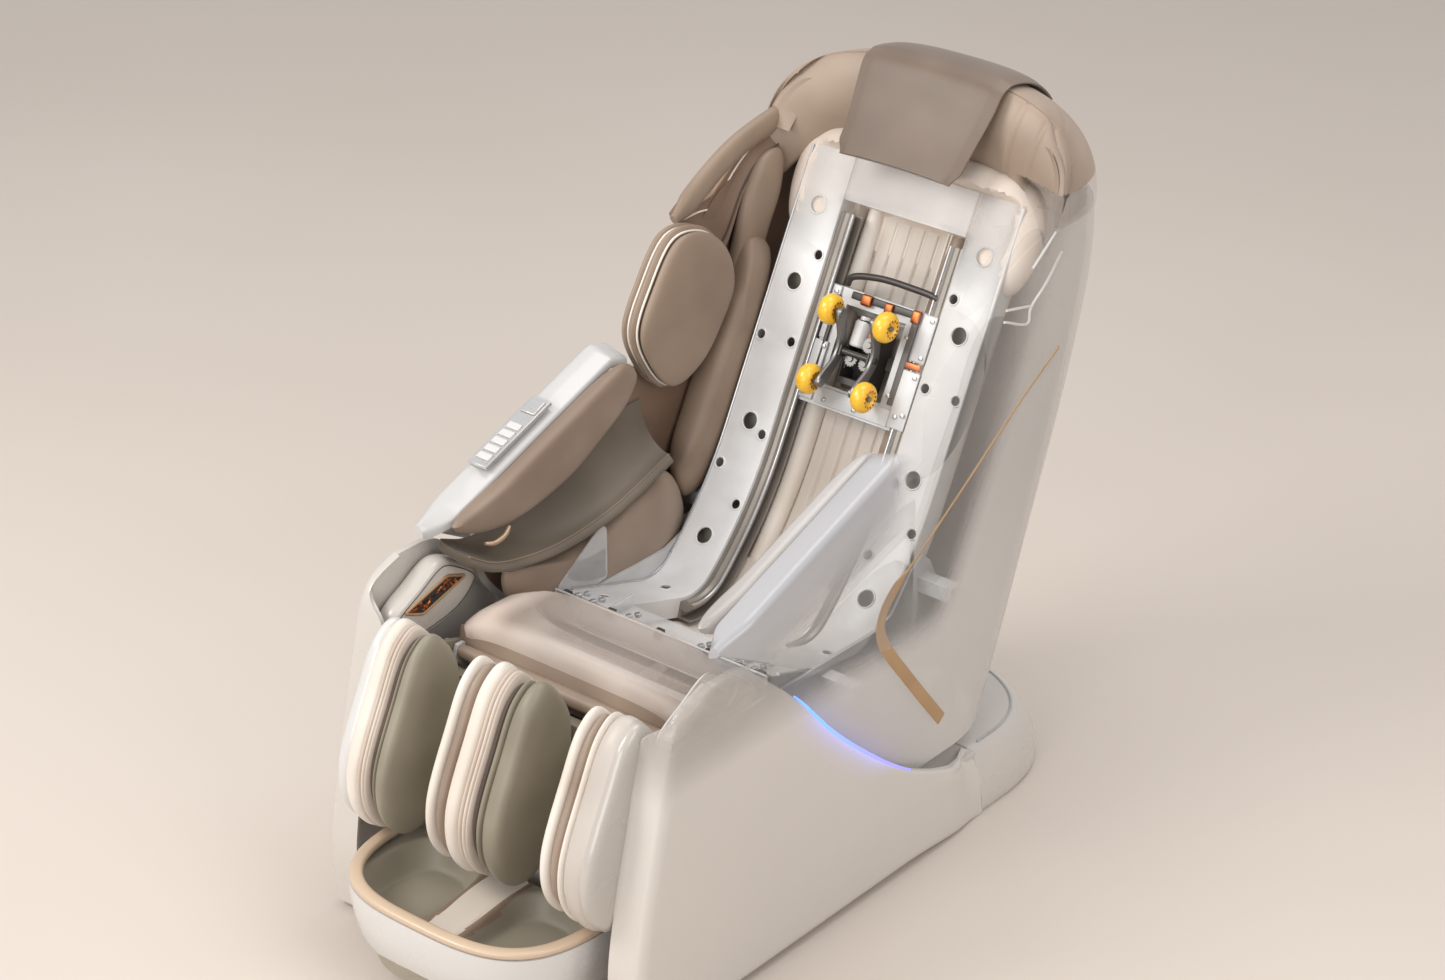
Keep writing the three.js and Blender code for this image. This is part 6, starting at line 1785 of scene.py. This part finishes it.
@dataclass
class Legs(Assembly):
    """The leg rest: three calf cushions of sewn layers on their board."""

    body: ClassVar[str] = "leg_rest"
    knee_y: float = -460.0
    knee_z: float = 470.0
    lean: float = math.radians(16)

    outline: tuple = (
        (-75, 150), (-45, 185), (54, 210), (199, 228), (272, 200), (312, 140), (300, 90), (247, 58),
        (63, 50), (-22, 76))

    def place(self, x: Array, u: Array, v: Array) -> Array:
        """u runs down the leg from the knee, v towards the front."""
        y = self.knee_y - u * math.sin(self.lean) - v * math.cos(self.lean)
        z = self.knee_z - u * math.cos(self.lean) + v * math.sin(self.lean)
        return np.stack(np.broadcast_arrays(x, y, z), axis=-1)

    def layer(self, low: float, high: float, share: float, soft: float) -> tuple:
        """One padded layer between two places across the chair."""
        middle = np.array([110.0, 135.0])
        line = middle + (curve(self.outline, 96, closed=True) - middle) * share
        m, h = (low + high) / 2, (high - low) / 2
        return cushion(line, lambda u, v, w: self.place(m + h * w, u, v), 14, soft)

    def fin(self, name: str, node: str, layers: Sequence[tuple]) -> None:
        """A cushion of layers (low, high, share, softness, finish): one mesh, a slot for each finish."""
        bodies = [self.layer(*row[:4]) for row in layers]
        obj = make(name, *merged(*bodies))
        finishes, slots = [], []
        for row, body in zip(layers, bodies):
            if row[4] not in finishes:
                finishes.append(row[4])
            slots += [finishes.index(row[4])] * len(body[1])
        self.shop.fit(obj, finishes[0], "leg_rest", "cream_leather", [node], 0.85)
        for extra in finishes[1:]:
            obj.data.materials.append(extra)
        obj.data.polygons.foreach_set("material_index", slots)
        obj.data.update()

    def build(self) -> None:
        """Makes the leg rest."""
        f = self.shop.finishes
        # On every fin the outermost layer on the -X side is cream: partly cream leather, partly painted
        # highlight where that edge catches light from the left.
        self.fin("fin_middle_piece", "fin_middle", (
            (-85, -64, 0.965, 0.16, f.cream), (-64, -40, 0.93, 0.2, f.brown), (-41, -4, 1.0, 0.22, f.cream),
            (-5, 5, 0.975, 0.25, f.rose), (4, 13, 0.97, 0.25, f.cream), (12, 21, 0.965, 0.25, f.rose),
            (20, 32, 0.88, 0.1, f.seam), (31, 46, 0.93, 0.2, f.taupe), (44, 85, 0.965, 0.16, f.taupe)))
        self.fin("fin_right_piece", "fin_right", (
            (-272, -240, 1.0, 0.12, f.cream), (-242, -234, 0.985, 0.25, f.rose),
            (-235, -227, 0.975, 0.25, f.cream), (-228, -220, 0.965, 0.25, f.rose),
            (-222, -211, 0.88, 0.1, f.seam), (-213, -204, 0.92, 0.2, f.taupe),
            (-206, -178, 0.965, 0.16, f.taupe)))
        self.fin("fin_left_piece", "fin_left", (
            (178, 200, 0.965, 0.16, f.cream), (199, 222, 0.93, 0.2, f.brown), (220, 236, 0.985, 0.3, f.cream),
            # The outer layer on the near fin's +X side is the darkened white leather: painted shade.
            (232, 284, 1.0, 0.13, f.pale)))
        for side in Side:
            cover = mirrored(self.layer(262, 296, 0.972, 0.16), side)
            # The near cover takes the darker fin shell, which is painted shade on its face; the far cover
            # takes the white shell.
            self.add(f"fin_cover_{side.word}_piece", cover, side.pick(f.fin, f.white), "white_shell")
        self.refined("leg_board", f.taupe, "dark_plastic", 2.0)


@dataclass
class Foot(Assembly):
    """The foot rest: tub, rim and the padded liner with two wells."""

    body: ClassVar[str] = "foot_rest"
    front: float = -850.0
    rear: float = -535.0
    half: float = 252.0
    round_power: float = 0.62
    well_x: float = 126.0
    well_y: float = -716.0

    def ring(self, by: float, z: float, count: int = 90) -> Array:
        """The tub seen from above, inset: a flat back and a superelliptic front."""
        half, front, rear = self.half - by, self.front + by, self.rear - by
        a = np.linspace(0, np.pi, count)
        x = bulged(np.cos(a), self.round_power) * half
        y = lerp(rear - 60, front, np.sin(a) ** self.round_power)
        x, y = np.append(x, [-half, half]), np.append(y, [rear, rear])
        return np.column_stack([x, y, np.full(len(x), z)])

    def tub(self) -> None:
        """A bowl between an outer and an inner set of rings, joined at the top edge."""
        f = self.shop.finishes
        outside = [(66, 30), (52, 31), (44, 34), (38, 40), (26, 62), (12, 90), (4, 130), (0, 164), (0, 184)]
        inside = [(12, 184), (13, 160), (20, 120), (27, 96), (45, 70), (58, 56)]
        rings = np.array([self.ring(by, z) for by, z in outside + inside])
        self.add("foot_tub_piece", lofted(rings, fan=False), f.white, "white_shell", sharp=45)
        rods = []
        for side in (-1, 1):
            ends = [Legs(self.shop).place(side * 150.0, u, 29.0) for u in (110.0, 300.0, 348.0)]
            rods.append(tubed(np.array(ends), 8, 24))
        self.add("slide_rods", merged(*rods), f.chrome, "bare_steel")

    def rim(self) -> None:
        """The padded rim round the front: a flat oval bead that ends at the rear posts."""
        f = self.shop.finishes
        a, b = np.clip(np.linspace(-0.02, np.pi + 0.02, 110), 0, np.pi), circle(20)
        x = bulged(np.cos(a), self.round_power) * (self.half - 12)
        y = lerp(self.rear - 62, self.front + 12, np.sin(a) ** self.round_power)
        path = np.column_stack([x, y])
        tangent = unit(np.gradient(path, axis=0))
        across = np.column_stack([-tangent[:, 1], tangent[:, 0]])
        wide, tall = 12.5 * bulged(np.cos(b), 0.7), 7.2 * bulged(np.sin(b), 0.7)
        xy = path[:, None] + across[:, None] * wide[None, :, None]
        z = np.broadcast_to(191.4 + tall, xy.shape[:2])
        self.add("tub_rim_piece", lofted(np.concatenate([xy, z[..., None]], axis=-1)), f.rim, "bronze_trim")

    def height(self, x: Array, y: Array) -> Array:
        """Top of the liner: two wells, sunk by smoothstep of a superellipse distance, and a ridge."""
        along, across = np.abs((y - self.well_y) / 118) ** 3, (np.abs(x) - self.well_x) / 84
        wall = smooth((np.abs(across) ** 3 + along) ** (1 / 3), 0.74, 1.06)
        ridge = 168 - 14 * smooth(-y, 640, 800)
        rim = lerp(ridge, 176.0, smooth(np.abs(x), 60, 190))
        groove = 3 * crease(np.abs(x), 33, 2.2) + 2 * crease(np.abs(x), 47, 1.6)
        return lerp(126, rim, wall) - groove * wall

    def liner(self) -> None:
        """The padded insert, as a height over the tub's plan, in a taupe made lighter as painted light in its
        deep wells, with a cream ridge.
        """
        f = self.shop.finishes
        u, v = np.meshgrid(np.linspace(-1, 1, 130), np.linspace(0, 1, 80))
        rear, front = self.rear - 64, self.front + 16
        y = lerp(-597.0, front, v)
        t = np.clip((y - rear) / (front - rear), 0, 1)
        x = u * np.maximum((self.half - 16) * (1 - t ** 3.226) ** 0.31, 40)
        top = np.stack([x, y, self.height(x, y)], axis=-1)
        low = np.stack([x * 0.8, y, np.full_like(x, 53.0)], axis=-1)
        # The liner's lighter taupe is painted light in its deep wells.
        obj = self.add("foot_liner_piece", sheeted(top, low), f.well, "taupe_leather", 0.6, sharp=70)
        for extra in (f.cream, f.brown):
            obj.data.materials.append(extra)
        middle = np.abs(x[:-1, :-1] + x[1:, 1:]) / 2
        index = np.where(middle < 33, 1, np.where(middle < 47, 2, 0)).reshape(-1)
        slots = np.zeros(len(obj.data.polygons), int)
        slots[:len(index)] = index
        obj.data.polygons.foreach_set("material_index", slots.tolist())
        obj.data.update()

    def build(self) -> None:
        """Makes the foot rest."""
        self.tub()
        self.rim()
        self.liner()


@dataclass
class Drives(Assembly):
    """The two actuators under the seat."""


    def build(self) -> None:
        """Refines the actuators."""
        f = self.shop.finishes
        for name in ("tilt_actuator", "leg_actuator"):
            self.refined(f"{name}_body", f.dark, "dark_metal", 0.8, body=f"{name}_body")
            self.refined(f"{name}_rod", f.chrome, "bare_steel", 0.5, body=f"{name}_rod")


# ------------------------------------------------------------------ studio
@dataclass(frozen=True)
class Studio:
    """Camera at the photograph's angle, a pale floor and soft lamps."""

    eye: tuple = (3.7272, -4.4940, 3.7407)
    ahead: tuple = (-0.5654, 0.6834, -0.4617)
    right: tuple = (0.7705, 0.6374, 0.0)
    lens: float = 92.18

    def camera(self) -> None:
        """The camera, looking down its local -Z."""
        data = bpy.data.cameras.new("camera")
        data.lens, data.sensor_width, data.clip_end = self.lens, 36.0, 60.0
        obj = bpy.data.objects.new("camera", data)
        right, back = Vector(self.right).normalized(), -Vector(self.ahead).normalized()
        up = back.cross(right)
        turn = Matrix((right, up, back)).transposed().to_4x4()
        obj.matrix_world = Matrix.Translation(Vector(self.eye)) @ turn
        bpy.context.scene.collection.objects.link(obj)
        bpy.context.scene.camera = obj

    def lamp(self, name: str, at: tuple, aim: tuple, size: float, power: float, tint: tuple) -> None:
        """A square area lamp turned to its aim."""
        data = bpy.data.lights.new(name, "AREA")
        data.size, data.energy, data.color = size, power, tint
        obj = bpy.data.objects.new(name, data)
        obj.location = at
        obj.rotation_euler = (Vector(aim) - Vector(at)).to_track_quat("-Z", "Y").to_euler()
        bpy.context.scene.collection.objects.link(obj)

    def floor(self) -> None:
        """A wide floor; its colour is plain, and a faint noise keeps it from looking cut out."""
        g = Graph("floor_paint")
        colour = g.mix(g.noise(0.8), srgb(214, 204, 194), srgb(206, 194, 182))
        material = g.finish(Base_Color=colour, Roughness=0.6)
        mesh = bpy.data.meshes.new("floor")
        mesh.from_pydata([(-14, -14, 0), (14, -14, 0), (14, 14, 0), (-14, 14, 0)], [], [[0, 1, 2, 3]])
        mesh.materials.append(material)
        obj = bpy.data.objects.new("floor", mesh)
        bpy.context.scene.collection.objects.link(obj)

    def build(self) -> None:
        """Sets the stage."""
        self.camera()
        self.floor()
        scene = bpy.context.scene
        scene.view_settings.view_transform = "Standard"
        world_ = scene.world or bpy.data.worlds.new("world")
        scene.world = world_
        world_.use_nodes = True
        sky = world_.node_tree.nodes["Background"]
        sky.inputs["Color"].default_value = (0.93, 0.93, 0.95, 1)
        sky.inputs["Strength"].default_value = 0.62
        self.lamp("key", (-2.6, -3.4, 4.2), (0, 0, 0.7), 2.4, 150, (1.0, 0.98, 0.95))
        self.lamp("side", (3.6, -0.6, 3.4), (0, 0, 0.7), 2.4, 48, (1.0, 0.97, 0.94))
        self.lamp("top", (0.2, 1.2, 4.4), (0, 0, 0.8), 2.6, 60, (1.0, 0.98, 0.96))
        self.lamp("front", (0.7, -4.6, 2.2), (0, 0, 0.7), 2.6, 74, (1.0, 0.99, 0.97))


def main() -> None:
    """Builds the studio and every sub-assembly in order."""
    logging.basicConfig(level=logging.INFO, format="%(name)s: %(message)s")
    Studio().build()
    shop = Shop(Finishes())
    for part in (Base, Track, Seat, Back, Canopy, Shell, Arms, Carriage, Legs, Foot, Drives):
        part(shop).build()
        log.info("%s is done, %d pieces so far", part.__name__, shop.count)


if __name__ == "__main__":
    main()
    bpy.context.view_layer.update()
